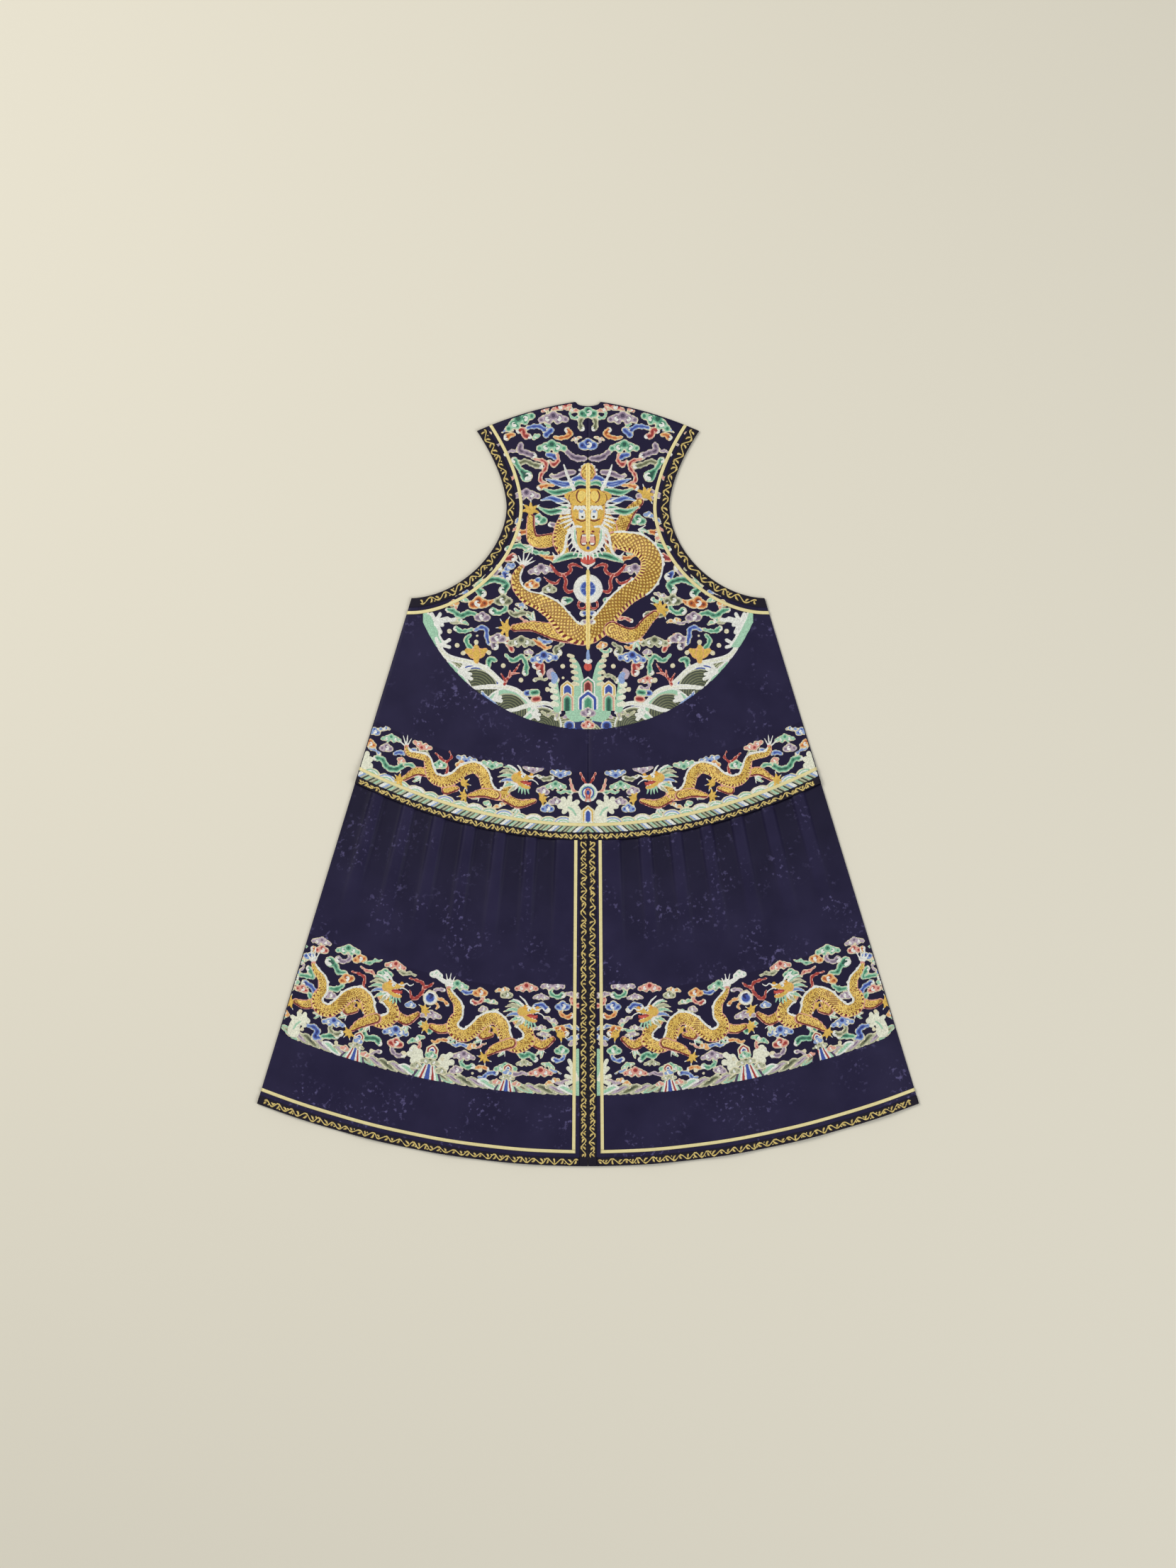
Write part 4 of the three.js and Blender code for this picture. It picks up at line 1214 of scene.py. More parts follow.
LOWER_CLOUDS = (
    (-505, 1010, 5.6, 0.4, "blue", "round"), (-484, 997, 5.6, 0.1, "red", "round"),
    (-436, 998, 6.8, 0.1, "green", "wide", "stem", "mauve"), (-439, 1050, 6.4, -0.2, "orange", "round"),
    (-369, 1041, 6.4, 0.1, "green", "round"), (-350, 1026, 6, 0.2, "red", "wide", "wisp", "olive"),
    (-463, 1129, 6.4, 0.2, "blue", "wide", "hook", "olive"), (-350, 1146, 7.2, 0.1, "blue", "wide"),
    (-350, 1167, 6.6, 0.2, "red", "round", "hook", "mauve"), (-286, 1116, 6, 0.1, "mauve", "wide"),
    (-323, 1097, 4.6, 0.1, "blue", "round"), (-276, 1042, 5.2, 0.2, "foam", "round", "wisp", "foam"),
    (-520, 1068, 5.4, 0.3, "red", "round"), (-469, 1080, 5.2, 0, "mauve", "round"),
    (-238, 1062, 6.4, 0.1, "green", "wide", "wisp", "blue"),
    (-64, 1062, 6.6, 0, "mauve", "wide", "hook", "green"),
    (-196, 1075, 6, 0, "orange", "round", "stem", "red"), (-112, 1066, 6.4, 0, "red", "wide"),
    (-46, 1100, 6.2, 0, "blue", "round", "hook", "orange"),
    (-150, 1212, 6.4, 0, "green", "wide", "wisp", "mauve"),
    (-226, 1190, 6.4, 0.1, "mauve", "wide", "hook", "green"), (-86, 1220, 6.6, 0, "red", "wide"),
    (-48, 1180, 6, 0, "green", "round", "stem", "blue"),
)
LOWER_RIBBONS = (
    ("green", "first", (-469, 1018, 10), (-460, 1024, 6), (-454, 1036, 6), (-442, 1038, 4)),
    ("flame", "none", (-430, 1036, 1.5), (-416, 1040, 3), (-406, 1048, 3), (-408, 1062, 2.6),
     (-402, 1070, 1.5)),
    ("red", "none", (-414, 1026, 1.4), (-404, 1034, 3.4), (-394, 1036, 4), (-388, 1042, 3)),
    ("blue", "first", (-516, 1056, 6), (-504, 1062, 5), (-496, 1072, 5), (-486, 1070, 3)),
    ("green", "none", (-514, 1070, 3), (-506, 1078, 4.6), (-502, 1090, 5.5)),
    ("green", "last", (-524, 1042, 4), (-512, 1044, 5), (-500, 1046, 4), (-508, 1030, 6)),
    ("green", "none", (-470, 1066, 4), (-458, 1068, 6), (-446, 1062, 4)),
    ("blue", "none", (-512, 1134, 3), (-500, 1136, 5.5), (-492, 1144, 6), (-496, 1154, 6.5),
     (-484, 1156, 4)),
    ("green", "last", (-484, 1154, 4), (-472, 1153, 6), (-458, 1152, 7.5)),
    ("green", "last", (-414, 1140, 4.5), (-408, 1146, 6.4), (-408, 1156, 6.4), (-394, 1157, 6.4),
     (-385, 1158, 6.6), (-379, 1167, 6)),
    ("orange", "none", (-374, 1137, 3), (-362, 1136, 4.4), (-352, 1138, 2)),
    ("flame", "none", (-325, 1048, 1.5), (-312, 1052, 2.8), (-302, 1056, 3.2), (-298, 1066, 3.4),
     (-305, 1078, 3.4), (-316, 1086, 3.4), (-322, 1080, 3), (-324, 1070, 1.6)),
    ("flame", "none", (-298, 1066, 2.8), (-288, 1062, 3), (-280, 1056, 1.6)),
    ("orange", "none", (-278, 1092, 2), (-272, 1099, 3), (-277, 1104, 1.6)),
    ("green", "none", (-308, 1130, 2.5), (-298, 1132, 5), (-288, 1144, 6)),
    ("green", "last", (-130, 1180, 4), (-118, 1190, 6), (-106, 1186, 5.5), (-96, 1196, 6.4)),
    ("blue", "both", (-96, 1100, 6), (-84, 1096, 5), (-74, 1106, 6)),
    ("orange", "last", (-60, 1140, 3.5), (-48, 1138, 5), (-40, 1148, 6)),
)
LOWER_DROPS = (
    (-523, 1108), (-520, 1141), (-458, 1165), (-394, 1180), (-335, 1184), (-265, 1195), (-196, 1216),
)
# Rocks, as x, size and whether foam stands beside them
ROCKS = ((-429, 0.95, False), (-294, 1.15, True), (-150, 0.9, False))


def band_edge(along, above):
    """A place on the lower band. along runs from the centre to the left, above from its edge up."""
    turn = along / BAND_BOTTOM
    reach = BAND_BOTTOM - above
    return -reach * math.sin(turn), BAND_CENTRE + reach * math.cos(turn)


def rock_cloud(view, u, v, size, tint, head):
    cloud(view.ground.view(*view.placed(u, v), view.turn, size * view.size, reach=7), tint, head)


def rock(view, foaming):
    """Peaks and clouds on a fan of stripes, which stands on the band's lower edge."""
    if foaming:
        for hand in (-1, 1):
            tips = [(hand * a, b) for a, b in ((34, -34), (29, -45), (19, -40), (27, -24))]
            fingers(view, (hand * 13, -26), tips, 4.4, "froth")
    fan(view, 0, -24, 4, 11, 27, ("blue", "white", "red", "white", "mint", "plum"))
    for hand in (-1, 1):
        rock_cloud(view, 20 * hand, -17, 4.8, "olive" if foaming else "red", "round")
    peak(view, 0, -58, -34, 10, ("cream", "red", "white", "blue"), 2.2)
    rock_cloud(view, 0, -28, 5.6, "olive", "wide")
    rock_cloud(view, 0, -38, 5.2, "green" if foaming else "blue", "round")


def stitch_lower():
    ground = flat_ground(-560, -16, 940, 1264, in_lower_band)
    whole = ground.view()
    rope(whole)
    for tint, ends, *rows in LOWER_RIBBONS:
        ribbon(whole, tint, rows, ends)
    clouds(ground, LOWER_CLOUDS, (False,))
    for x, size, foaming in ROCKS:
        turn = math.asin(-x / BAND_BOTTOM)
        down = BAND_CENTRE + BAND_BOTTOM * math.cos(turn)
        rock(ground.view(x, down, turn, size, reach=60), foaming)
    foam(whole, -535, 1140, 1, 1.2)
    whole.line(((-17, 1262, 9), (-19, 1235, 8), (-21, 1205, 6), (-19, 1180, 4)), "mint", 0.9)
    fingers(whole, (-19, 1232), ((-38, 1240), (-40, 1226), (-36, 1212), (-34, 1198)), 3.6, "froth")
    walking_dragon(ground.view(-416, 1087, 0, 1, reach=190), SKIRT_DRAGON)
    walking_dragon(ground.view(-170, 1132, 0, 1, reach=190), SKIRT_DRAGON)
    for radius, thread in ((13.5, "cream"), (12, "white"), (8.5, "pale_blue"), (7, "blue")):
        whole.disc(-287, 1084, radius, thread, 2.0 - radius / 16)
    whole.line(((-287, 1084, 2), (-282, 1079, 2), (-289, 1076, 1.4)), "ink", 2.1)
    fill_clouds(whole, 3000, seed=31, low=(-556, 950), high=(-20, 1258), keep=in_lower_sky, sizes=(4.6, 7.2))
    for u, v in LOWER_DROPS:
        whole.disc(u, v, 3.9, "cream", 1.0)
    bubbles(whole, 100, seed=33, low=(-556, 1000), high=(-26, 1250), keep=in_lower_sky, radii=(2.8, 3.8))
    return ground


def in_lower_sky(u, v):
    return BAND_TOP + 6 < math.hypot(u, v - BAND_CENTRE) < BAND_BOTTOM - 24


# Woven scrolls of the edgings
STEM_WIDE, STEM_CORE = 1.5, 0.8


def stem(view, rows):
    """A gold stem or leaf with a pale middle. The rows say how thick it is, with 1 as usual."""
    view.line([(u, v, STEM_WIDE * thick) for u, v, thick in rows], "old_gold", 0.3)
    view.line([(u, v, STEM_CORE * thick) for u, v, thick in rows], "pale_gold", 0.5)


def vine(view, start, end, middle, reach, draw):
    """A stem that winds from side to side, stout at each bend, with leaves in the hollows."""
    at, hand, winding = start, 1, []
    while at < end:
        out = hand * reach * draw.uniform(0.6, 1)
        step = reach * draw.uniform(2.0, 2.9)
        back = middle + 0.75 * out
        turn = 0.26 * step
        winding += [(at - turn, back, 0.8), (at, middle + out, 1.25), (at + turn, back, 0.8)]
        root, tip = at + draw.uniform(-0.3, 0.1) * step, at + draw.uniform(0.15, 0.35) * step
        bulge = middle - draw.uniform(0.3, 0.6) * out
        leaf_end = (tip, middle - 0.9 * out, 0.4)
        stem(view, ((root, middle + 0.5 * out, 0.6), ((root + tip) / 2 - 1, bulge, 1.5), leaf_end))
        if draw.random() < 0.5:
            view.disc(at - 0.38 * step, middle - 0.8 * out, 1.5, "pale_gold", 0.45)
        at, hand = at + step, -hand
    stem(view, winding)


def brocade_ground(place, start, end, inner, outer, seed):
    """Woven stems on an edging, whose place takes millimetres aside and along."""
    aside, along = np.meshgrid(np.arange(inner, outer, 0.9), np.arange(start, end, 0.9))
    ground = Ground(*place(aside, along), along, aside)
    middle, reach = (inner + outer) / 2, (outer - inner) / 2 - 1.7
    vine(ground.view(), start + reach, end - reach, middle, reach, np.random.default_rng(seed))
    return ground


def stitch_edgings(seed):
    """The edgings' grounds, each with the surface that it lies on."""
    walked = np.concatenate([[0], np.cumsum(np.hypot(np.diff(ARMHOLE[0]), np.diff(ARMHOLE[1])))])
    stops = np.arange(len(walked))
    tall, hem_half, waist_half = LENGTH - WAIST_CENTRE, side_half(HEM_SIDE), side_half(WAIST_SIDE)

    def down_armhole(aside, along):
        return armhole_place(aside, np.interp(along, walked, stops))

    def down_vent(aside, along):
        return skirt_place_at(aside, along / tall)

    def along_hem(aside, along):
        return hem_place(along / hem_half, aside)

    def along_waist(aside, along):
        return waist_place(along / waist_half, aside)

    armhole = brocade_ground(down_armhole, 2, walked[-1] - 2, 1, ARMHOLE_EDGING - 1, seed)
    vent = brocade_ground(down_vent, 2, tall - 2, 1.2, VENT_EDGING - 0.8, seed + 1)
    hem = brocade_ground(along_hem, VENT_EDGING + 1, hem_half - 3, 1, HEM_EDGING - 1, seed + 2)
    waist = brocade_ground(along_waist, 1, waist_half - 3, 0.8, WAIST_EDGING - 0.8, seed + 3)
    return (("armhole", armhole, armhole_top), ("vent", vent, skirt_top), ("hem", hem, skirt_top),
            ("waist", waist, bodice_top))


SIDES = ((-1, "left"), (1, "right"))


def on_left(u, v):
    return u < 0


def on_right(u, v):
    return u >= 0


def sew_all():
    """All the embroidery, listed for the panels that it is sewn to."""
    yoke, waist, lower = stitch_yoke(), stitch_waist(), stitch_lower()
    made = {}
    for side, hand, half in ((-1, "left", on_left), (1, "right", on_right)):
        mirror = side > 0
        made["back_bodice", side] = [
            embroidery(f"embroidered_yoke_{hand}", yoke, bodice_top, half),
            embroidery(f"embroidered_waist_{hand}", waist, bodice_top, mirror=mirror),
        ]
        made["back_skirt", side] = [
            embroidery(f"embroidered_band_{hand}", lower, skirt_top, mirror=mirror),
        ]
    above = SEAM_GAP + EDGING_THICK
    for side, hand in SIDES:
        for kind, ground, top in stitch_edgings(41 + side):
            embroidery(f"brocade_scrolls_{kind}_{hand}", ground, top, mirror=side < 0, above=above)
    return made


# Meshes
def to_points(x, down, height):
    return np.stack([x, LENGTH / 2 - down, height], -1).reshape(-1, 3) * MM


def to_uv(x, down, left=0.0, right=1.0):
    """Spreads a piece's plan over a part of the texture space."""
    wide, tall = max(np.ptp(x), 1), max(np.ptp(down), 1)
    u, v = left + (right - left) * (x - x.min()) / wide, (down.max() - down) / tall
    return np.stack([u, v], -1).reshape(-1, 2)


def add_mesh(name, points, faces, uv, material, flip=False):
    """A mesh of quads, which rides on the vest. uv has one row for each corner of each face."""
    if flip:
        faces, uv = faces[:, ::-1], uv.reshape(-1, 4, 2)[:, ::-1].reshape(-1, 2)
    mesh = bpy.data.meshes.new(name)
    mesh.vertices.add(len(points))
    mesh.vertices.foreach_set("co", points.astype(np.float32).ravel())
    mesh.loops.add(faces.size)
    mesh.loops.foreach_set("vertex_index", faces.astype(np.int32).ravel())
    mesh.polygons.add(len(faces))
    mesh.polygons.foreach_set("loop_start", np.arange(0, faces.size, 4, dtype=np.int32))
    mesh.uv_layers.new(name="OFBake").uv.foreach_set("vector", uv.astype(np.float32).ravel())
    mesh.materials.append(material)
    mesh.update(calc_edges=True)
    mesh.shade_smooth()
    obj = bpy.data.objects.new(name, mesh)
    bpy.context.scene.collection.objects.link(obj)
    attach(obj, "root")
    return obj


def add_values(obj, name, domain, values):
    attribute = obj.data.attributes.new(name, "FLOAT", domain)
    attribute.data.foreach_set("value", np.asarray(values, np.float32).ravel())


def grid_faces(rows, columns):
    at = np.arange(rows * columns).reshape(rows, columns)
    return np.stack([at[:-1, :-1], at[1:, :-1], at[1:, 1:], at[:-1, 1:]], -1).reshape(-1, 4)


def with_rims(stops, rim):
    """Adds a stop just inside each end, for a rounded rim."""
    step = rim if stops[-1] > stops[0] else -rim
    from_ends = np.minimum(np.abs(stops - stops[0]), np.abs(stops - stops[-1]))
    inner = stops[from_ends > 1.5 * rim]
    return np.concatenate([[stops[0], stops[0] + step], inner, [stops[-1] - step, stops[-1]]])


def closed_cloth(name, x, down, under, thick, material):
    """Cloth with two faces and rounded rims over a grid of places."""
    rows, columns = x.shape
    inner = np.zeros(x.shape, bool)
    inner[1:-1, 1:-1] = True
    half = thick / 2 * np.where(inner, 1, RIM_THICKNESS)
    top, bottom = under + thick / 2 + half, under + thick / 2 - half
    points = np.vstack([to_points(x, down, top), to_points(x, down, bottom)])
    faces = grid_faces(rows, columns)
    layer = rows * columns
    at = np.arange(layer).reshape(rows, columns)
    loop = np.concatenate([at[:, 0], at[-1, 1:], at[-2::-1, -1], at[0, -2:0:-1]])
    after = np.roll(loop, -1)
    rim = np.stack([loop, loop + layer, after + layer, after], -1)
    below = faces[:, ::-1]
    every = np.vstack([faces, below + layer, rim])
    shown_uv, hidden_uv = to_uv(x, down, 0, 0.5), to_uv(x, down, 0.5, 1)
    uv = np.vstack([shown_uv[faces.ravel()], hidden_uv[below.ravel()], shown_uv[rim.ravel() % layer]])
    flip = x[0, -1] + x[-1, -1] < x[0, 0] + x[-1, 0]
    return add_mesh(name, points, every, uv, material, flip)


RELAX_REACH, RELAX_SHARE, RELAX_ROUNDS = 0.55, 0.6, 6


def relaxed(thread, x, down):
    """Rounds the stepped borders between threads."""
    rows, columns = x.shape
    cells = np.pad(thread.reshape(rows - 1, columns - 1), 1, mode="edge")
    level = cells[:-1, 1:-1] != cells[1:, 1:-1]
    upright = cells[1:-1, :-1] != cells[1:-1, 1:]
    level[[0, -1]] = False
    upright[:, [0, -1]] = False
    count = np.zeros(x.shape)
    count[:, :-1] += level
    count[:, 1:] += level
    count[:-1] += upright
    count[1:] += upright
    cell = abs(x[0, 1] - x[0, 0]) + abs(down[0, 1] - down[0, 0])
    reach = RELAX_REACH * cell
    moving = count >= 2
    new = [x.copy(), down.copy()]
    for _ in range(RELAX_ROUNDS):
        for axis, old in enumerate((x, down)):
            total = np.zeros(x.shape)
            total[:, :-1] += level * new[axis][:, 1:]
            total[:, 1:] += level * new[axis][:, :-1]
            total[:-1] += upright * new[axis][1:]
            total[1:] += upright * new[axis][:-1]
            target = np.where(moving, total / np.maximum(count, 1), old)
            new[axis] = np.clip(mix(new[axis], target, RELAX_SHARE), old - reach, old + reach)
    return new


def embroidery(name, ground, top, within=None, mirror=False, above=0.0):
    """The sewn cells of a ground as a mesh on the cloth, whose height top gives."""
    rows, columns = ground.x.shape
    x, down = relaxed(ground.thread, ground.x, ground.down)
    sewn = ground.thread != BARE
    if within is not None:
        sewn &= within(ground.u, ground.v)
    cells = np.where(sewn, ground.height, 0).reshape(rows - 1, columns - 1)
    flags = sewn.reshape(rows - 1, columns - 1)
    total, count = np.zeros(x.shape), np.zeros(x.shape)
    for di in (0, 1):
        for dj in (0, 1):
            total[di : rows - 1 + di, dj : columns - 1 + dj] += cells
            count[di : rows - 1 + di, dj : columns - 1 + dj] += flags
    height = np.where(count == 4, total / 4, BORDER_HEIGHT)
    faces = grid_faces(rows, columns)[sewn]
    used, faces = np.unique(faces, return_inverse=True)
    faces = faces.reshape(-1, 4)
    x, down, height = x.ravel()[used], down.ravel()[used], height.ravel()[used]
    points = to_points(-x if mirror else x, down, top(x, down) + height + above)
    uv = to_uv(x, down)[faces.ravel()]
    flipped = mirror != (ground.x[0, -1] + ground.x[-1, -1] < ground.x[0, 0] + ground.x[-1, 0])
    obj = add_mesh(name, points, faces, uv, THREAD_MATERIAL, flipped)
    threads = np.array(list(THREADS.values()), float)[ground.thread[sewn]]
    colours = np.ones((len(faces), 4, 4), np.float32)
    colours[:, :, :3] = threads[:, None, :3] / 255
    layer = obj.data.color_attributes.new("thread", "BYTE_COLOR", "CORNER")
    layer.data.foreach_set("color_srgb", colours.ravel())
    add_values(obj, "metal", "FACE", threads[:, 3])
    grain = ground.grain[sewn]
    add_values(obj, "grain", "FACE", grain if mirror else -grain)
    return obj


# Materials
def linear(red, green, blue):
    """A display colour from 0 to 255 as the light that a material reflects."""
    return [((c / 255 + 0.055) / 1.055) ** 2.4 if c > 10 else c / 3295 for c in (red, green, blue)] + [1]


class Finish:
    """A material and its nodes."""

    def __init__(self, name, roughness):
        self.material = bpy.data.materials.new(name)
        self.material.use_nodes = True
        self.shader = self.material.node_tree.nodes["Principled BSDF"]
        self.shader.inputs["Roughness"].default_value = roughness

    def feed(self, socket, value):
        """Links another node's output to a socket, or sets it to a value."""
        if isinstance(value, bpy.types.NodeSocket):
            self.material.node_tree.links.new(value, socket)
        else:
            socket.default_value = value

    def shade(self, **values):
        """Feeds the shader's sockets, with _ in place of the spaces in their names."""
        for name, value in values.items():
            self.feed(self.shader.inputs[name.replace("_", " ")], value)

    def node(self, kind, **values):
        """A new node with values for the inputs or the settings of those names."""
        made = self.material.node_tree.nodes.new(kind)
        for name, value in values.items():
            if name in made.inputs:
                self.feed(made.inputs[name], value)
            else:
                setattr(made, name, value)
        return made

    def calculate(self, operation, first, second=0.0, offset=0.0, clamp=False):
        made = self.node("ShaderNodeMath", operation=operation, use_clamp=clamp)
        for socket, value in zip(made.inputs, (first, second, offset)):
            self.feed(socket, value)
        return made.outputs[0]

    def scaled(self, value, factor, offset, clamp=True):
        return self.calculate("MULTIPLY_ADD", value, factor, offset, clamp)

    def attribute(self, name, output="Fac"):
        return self.node("ShaderNodeAttribute", attribute_name=name).outputs[output]

    def place(self):
        return self.node("ShaderNodeTexCoord").outputs["Object"]

    def noise(self, scale, detail):
        """Soft noise over the vest, between 0 and 1. scale is spots a metre."""
        made = self.node("ShaderNodeTexNoise", Vector=self.place(), Scale=scale, Detail=detail)
        return made.outputs["Fac"]

    def mixed(self, share, first, second):
        made = self.node("ShaderNodeMix", data_type="RGBA")
        for socket, value in zip((made.inputs["Factor"], *made.inputs[6:8]), (share, first, second)):
            self.feed(socket, value)
        return made.outputs[2]

    def bumped(self, height, distance, strength):
        bump = self.node("ShaderNodeBump", Strength=strength, Distance=distance, Height=height)
        self.shade(Normal=bump.outputs["Normal"])


def satin_material():
    satin = Finish("satin", 0.5)
    satin.shade(Specular_IOR_Level=0.15)
    patches = satin.scaled(satin.noise(14, 5), 2.2, -0.75)
    plain = satin.mixed(patches, linear(27, 22, 52), linear(38, 33, 64))
    spots = satin.scaled(satin.noise(130, 3), 9.0, -5.2)
    worn = satin.scaled(satin.noise(11, 2), 6.0, -2.9)
    plain = satin.mixed(satin.calculate("MULTIPLY", spots, worn), plain, linear(84, 78, 118))
    zone = satin.scaled(satin.attribute("zone"), 0.5, 0.5)
    ground = satin.mixed(zone, plain, linear(26, 20, 50))
    # Painted shade: the satin is darkened in the pleats' recesses, where shadow would fall
    pleat_shading = satin.calculate("MULTIPLY", satin.attribute("pleat_shade"), 0.45)
    satin.shade(Base_Color=satin.mixed(pleat_shading, ground, linear(8, 6, 18)))
    satin.bumped(satin.noise(1400, 1), 0.0002, 0.5)
    return satin.material


def thread_material():
    silk = Finish("thread", 0.55)
    silk.shade(Sheen_Weight=0.1)
    parts = silk.node("ShaderNodeSeparateXYZ", Vector=silk.place())
    grain, metal = silk.attribute("grain"), silk.attribute("metal")
    aside = silk.calculate("MULTIPLY", parts.outputs["X"], silk.calculate("SINE", grain))
    ahead = silk.calculate("MULTIPLY", parts.outputs["Y"], silk.calculate("COSINE", grain))
    across = silk.calculate("SUBTRACT", ahead, aside)
    turns = silk.calculate("MULTIPLY", across, 2 * math.pi / (THREAD_PITCH * MM))
    ridge = silk.calculate("SINE", turns)
    strand = silk.scaled(silk.noise(420, 1), 0.9, 0.5, clamp=False)
    colour = silk.attribute("thread", "Color")
    tinted = silk.node("ShaderNodeHueSaturation", Saturation=1.0, Value=strand, Color=colour)
    silk.shade(
        Base_Color=tinted.outputs["Color"],
        Metallic=silk.calculate("MULTIPLY", metal, 0.15),
        Roughness=silk.scaled(metal, -0.12, 0.55, clamp=False),
    )
    silk.bumped(ridge, 0.00012, 0.7)
    return silk.material


def brocade_material():
    brocade = Finish("brocade", 0.6)
    brocade.shade(Specular_IOR_Level=0.15, Base_Color=linear(26, 21, 34))
    brocade.bumped(brocade.noise(1400, 1), 0.0002, 0.5)
    return brocade.material


def braid_material():
    braid = Finish("braid", 0.45)
    braid.shade(
        Metallic=0.2,
        Base_Color=braid.mixed(braid.noise(160, 2), linear(214, 198, 134), linear(232, 221, 168)),
    )
    braid.bumped(braid.noise(1800, 1), 0.0002, 0.6)
    return braid.material


SATIN = satin_material()
THREAD_MATERIAL = thread_material()
BROCADE = brocade_material()
BRAID = braid_material()


def embroidered_depth(x, down, skirt):
    """How far inside the embroidered yoke and bands a place is, and below zero outside them."""
    out = np.hypot(x, down - BAND_CENTRE)
    if skirt:
        return np.minimum(out - BAND_TOP, BAND_BOTTOM - out)
    yoke = YOKE_RADIUS - np.hypot(x, down - YOKE_CENTRE)
    waist = np.hypot(x, down - WAIST_BAND_CENTRE) - WAIST_BAND_TOP
    return np.maximum(yoke, waist)


ZONE_REACH = 9.0


def panel(kind, side, columns, rows, place, under, start):
    """A panel of satin, which stands for the plain one. start is where it begins beside the middle."""
    name = f"{kind}_{'right' if side > 0 else 'left'}"
    across, row = np.meshgrid(columns, rows)
    x, down = place(across, row)
    x = side * np.maximum(x, start)
    height = under(across, row, x, down)
    obj = closed_cloth(f"cloth_{name}", x, down, height, CLOTH, SATIN)
    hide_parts(name)
    depth = np.full(x.shape, -ZONE_REACH)
    if kind.startswith("back"):
        depth = np.clip(embroidered_depth(x, down, kind == "back_skirt"), -ZONE_REACH, ZONE_REACH)
    # Painted shade for the back skirt's pleat recesses, strongest at the waist and fading down the skirt
    pleat_shade = np.zeros(x.shape)
    if kind == "back_skirt":
        pleat_shade = pleat_fade(row) * (1 - pleat_profile(across))
    for label, values in (("zone", depth), ("pleat_shade", pleat_shade)):
        add_values(obj, label, "POINT", np.concatenate([values.ravel(), values.ravel()]))
    return obj


def bodice_columns(count):
    past = np.linspace(NECK_ACROSS, 1, count)
    return with_rims(np.concatenate([np.linspace(0, NECK_ACROSS, 6)[:-1], past]), RIM / UNDERARM_HALF)


def bodice_rows(upper, lower):
    narrow = UNDERARM_ROW * (NARROW_DOWN - SHOULDER_DOWN) / (UNDERARM_DOWN - SHOULDER_DOWN)
    turns = np.linspace(0, math.pi / 2, upper)
    curved = mix(narrow, UNDERARM_ROW, np.sin(turns))
    above, below = np.linspace(0, narrow, upper)[:-1], np.linspace(UNDERARM_ROW, 1, lower)[1:]
    return with_rims(np.concatenate([above, curved, below]), RIM / WAIST_CENTRE)


STOP_GAP = 0.004


def skirt_columns(count, pleated):
    stops = np.linspace(0, 1, count)
    if pleated:
        for i in range(PLEAT_COUNT):
            middle = PLEAT_FIRST + i * PLEAT_PITCH
            inner, outer = PLEAT_RECESS / 2, PLEAT_RECESS / 2 + PLEAT_FLANK
            flank = np.linspace(inner, outer, 5)
            far = np.abs(stops - middle)
            stops = stops[(far > outer + STOP_GAP) | (far < inner - STOP_GAP)]
            stops = np.concatenate([stops, middle - flank, middle + flank])
    return with_rims(np.unique(stops[stops <= 1]), RIM / HEM_HALF)


def skirt_rows(count):
    return with_rims(np.linspace(skirt_row_below(SEAM_GAP), 1, count), RIM / (LENGTH - WAIST_CENTRE))


def on_floor(across, row, x, down):
    return np.zeros(x.shape)


def back_bodice_under(across, row, x, down):
    return bodice_under(row, x, down)


def all_panels():
    back_place = partial(bodice_place, neck_dip=NECK_DIP)
    front_place = partial(bodice_place, neck_dip=FRONT_NECK_DIP)
    start = OPENING_GAP / 2
    forms = (
        ("back_bodice", bodice_columns(56), bodice_rows(30, 60), back_place, back_bodice_under, BACK_SEAM),
        ("back_skirt", skirt_columns(96, True), skirt_rows(80), skirt_place, skirt_under, start),
        ("front_bodice", bodice_columns(20), bodice_rows(16, 10), front_place, on_floor, start),
        ("front_skirt", skirt_columns(20, False), skirt_rows(12), skirt_place, on_floor, start),
    )
    return {(kind, side): panel(kind, side, *form) for side in (-1, 1) for kind, *form in forms}


# Edgings and piping
def armhole_line(count=90):
    """Places down the armhole, with the direction that runs inwards over the cloth."""
    turns = np.linspace(0, math.pi / 2, count)
    down = mix(SHOULDER_DOWN, UNDERARM_DOWN, np.sin(turns) ** 0.9)
    x = armhole_half(down)
    step_x, step_down = np.gradient(x), np.gradient(down)
    length = np.hypot(step_x, step_down)
    in_x, in_down = -step_down / length, step_x / length
    tip = bodice_place(np.array([1.0, 0.85]), np.zeros(2))
    ends = ((0, tip[0][1] - tip[0][0], tip[1][1] - tip[1][0]), (-1, SIDE_FLARE, 1))
    for end, run_x, run_down in ends:
        share = run_x * in_x[end] + run_down * in_down[end]
        in_x[end], in_down[end] = run_x / share, run_down / share
    return x, down, in_x, in_down


ARMHOLE = armhole_line()


def armhole_place(inset, stop):
    """inset is millimetres from the armhole and stop counts places down its line."""
    whole = np.arange(len(ARMHOLE[0]))
    x, down, in_x, in_down = (np.interp(stop, whole, values) for values in ARMHOLE)
    return x + in_x * inset, down + in_down * inset


def armhole_top(x, down):
    return np.full(np.shape(x), float(BACK_FLOOR + CLOTH)) + creases(x, down)


def skirt_place_at(x, row):
    return skirt_place(x / side_half(mix(WAIST_SIDE, HEM_SIDE, row)), row)


def hem_place(across, above):
    """above is millimetres up from the hem."""
    return skirt_place(across, 1 - above / (LENGTH - WAIST_CENTRE))


def waist_place(across, above):
    """above is millimetres up from the waist seam."""
    return bodice_place(across, bodice_row_above(above))


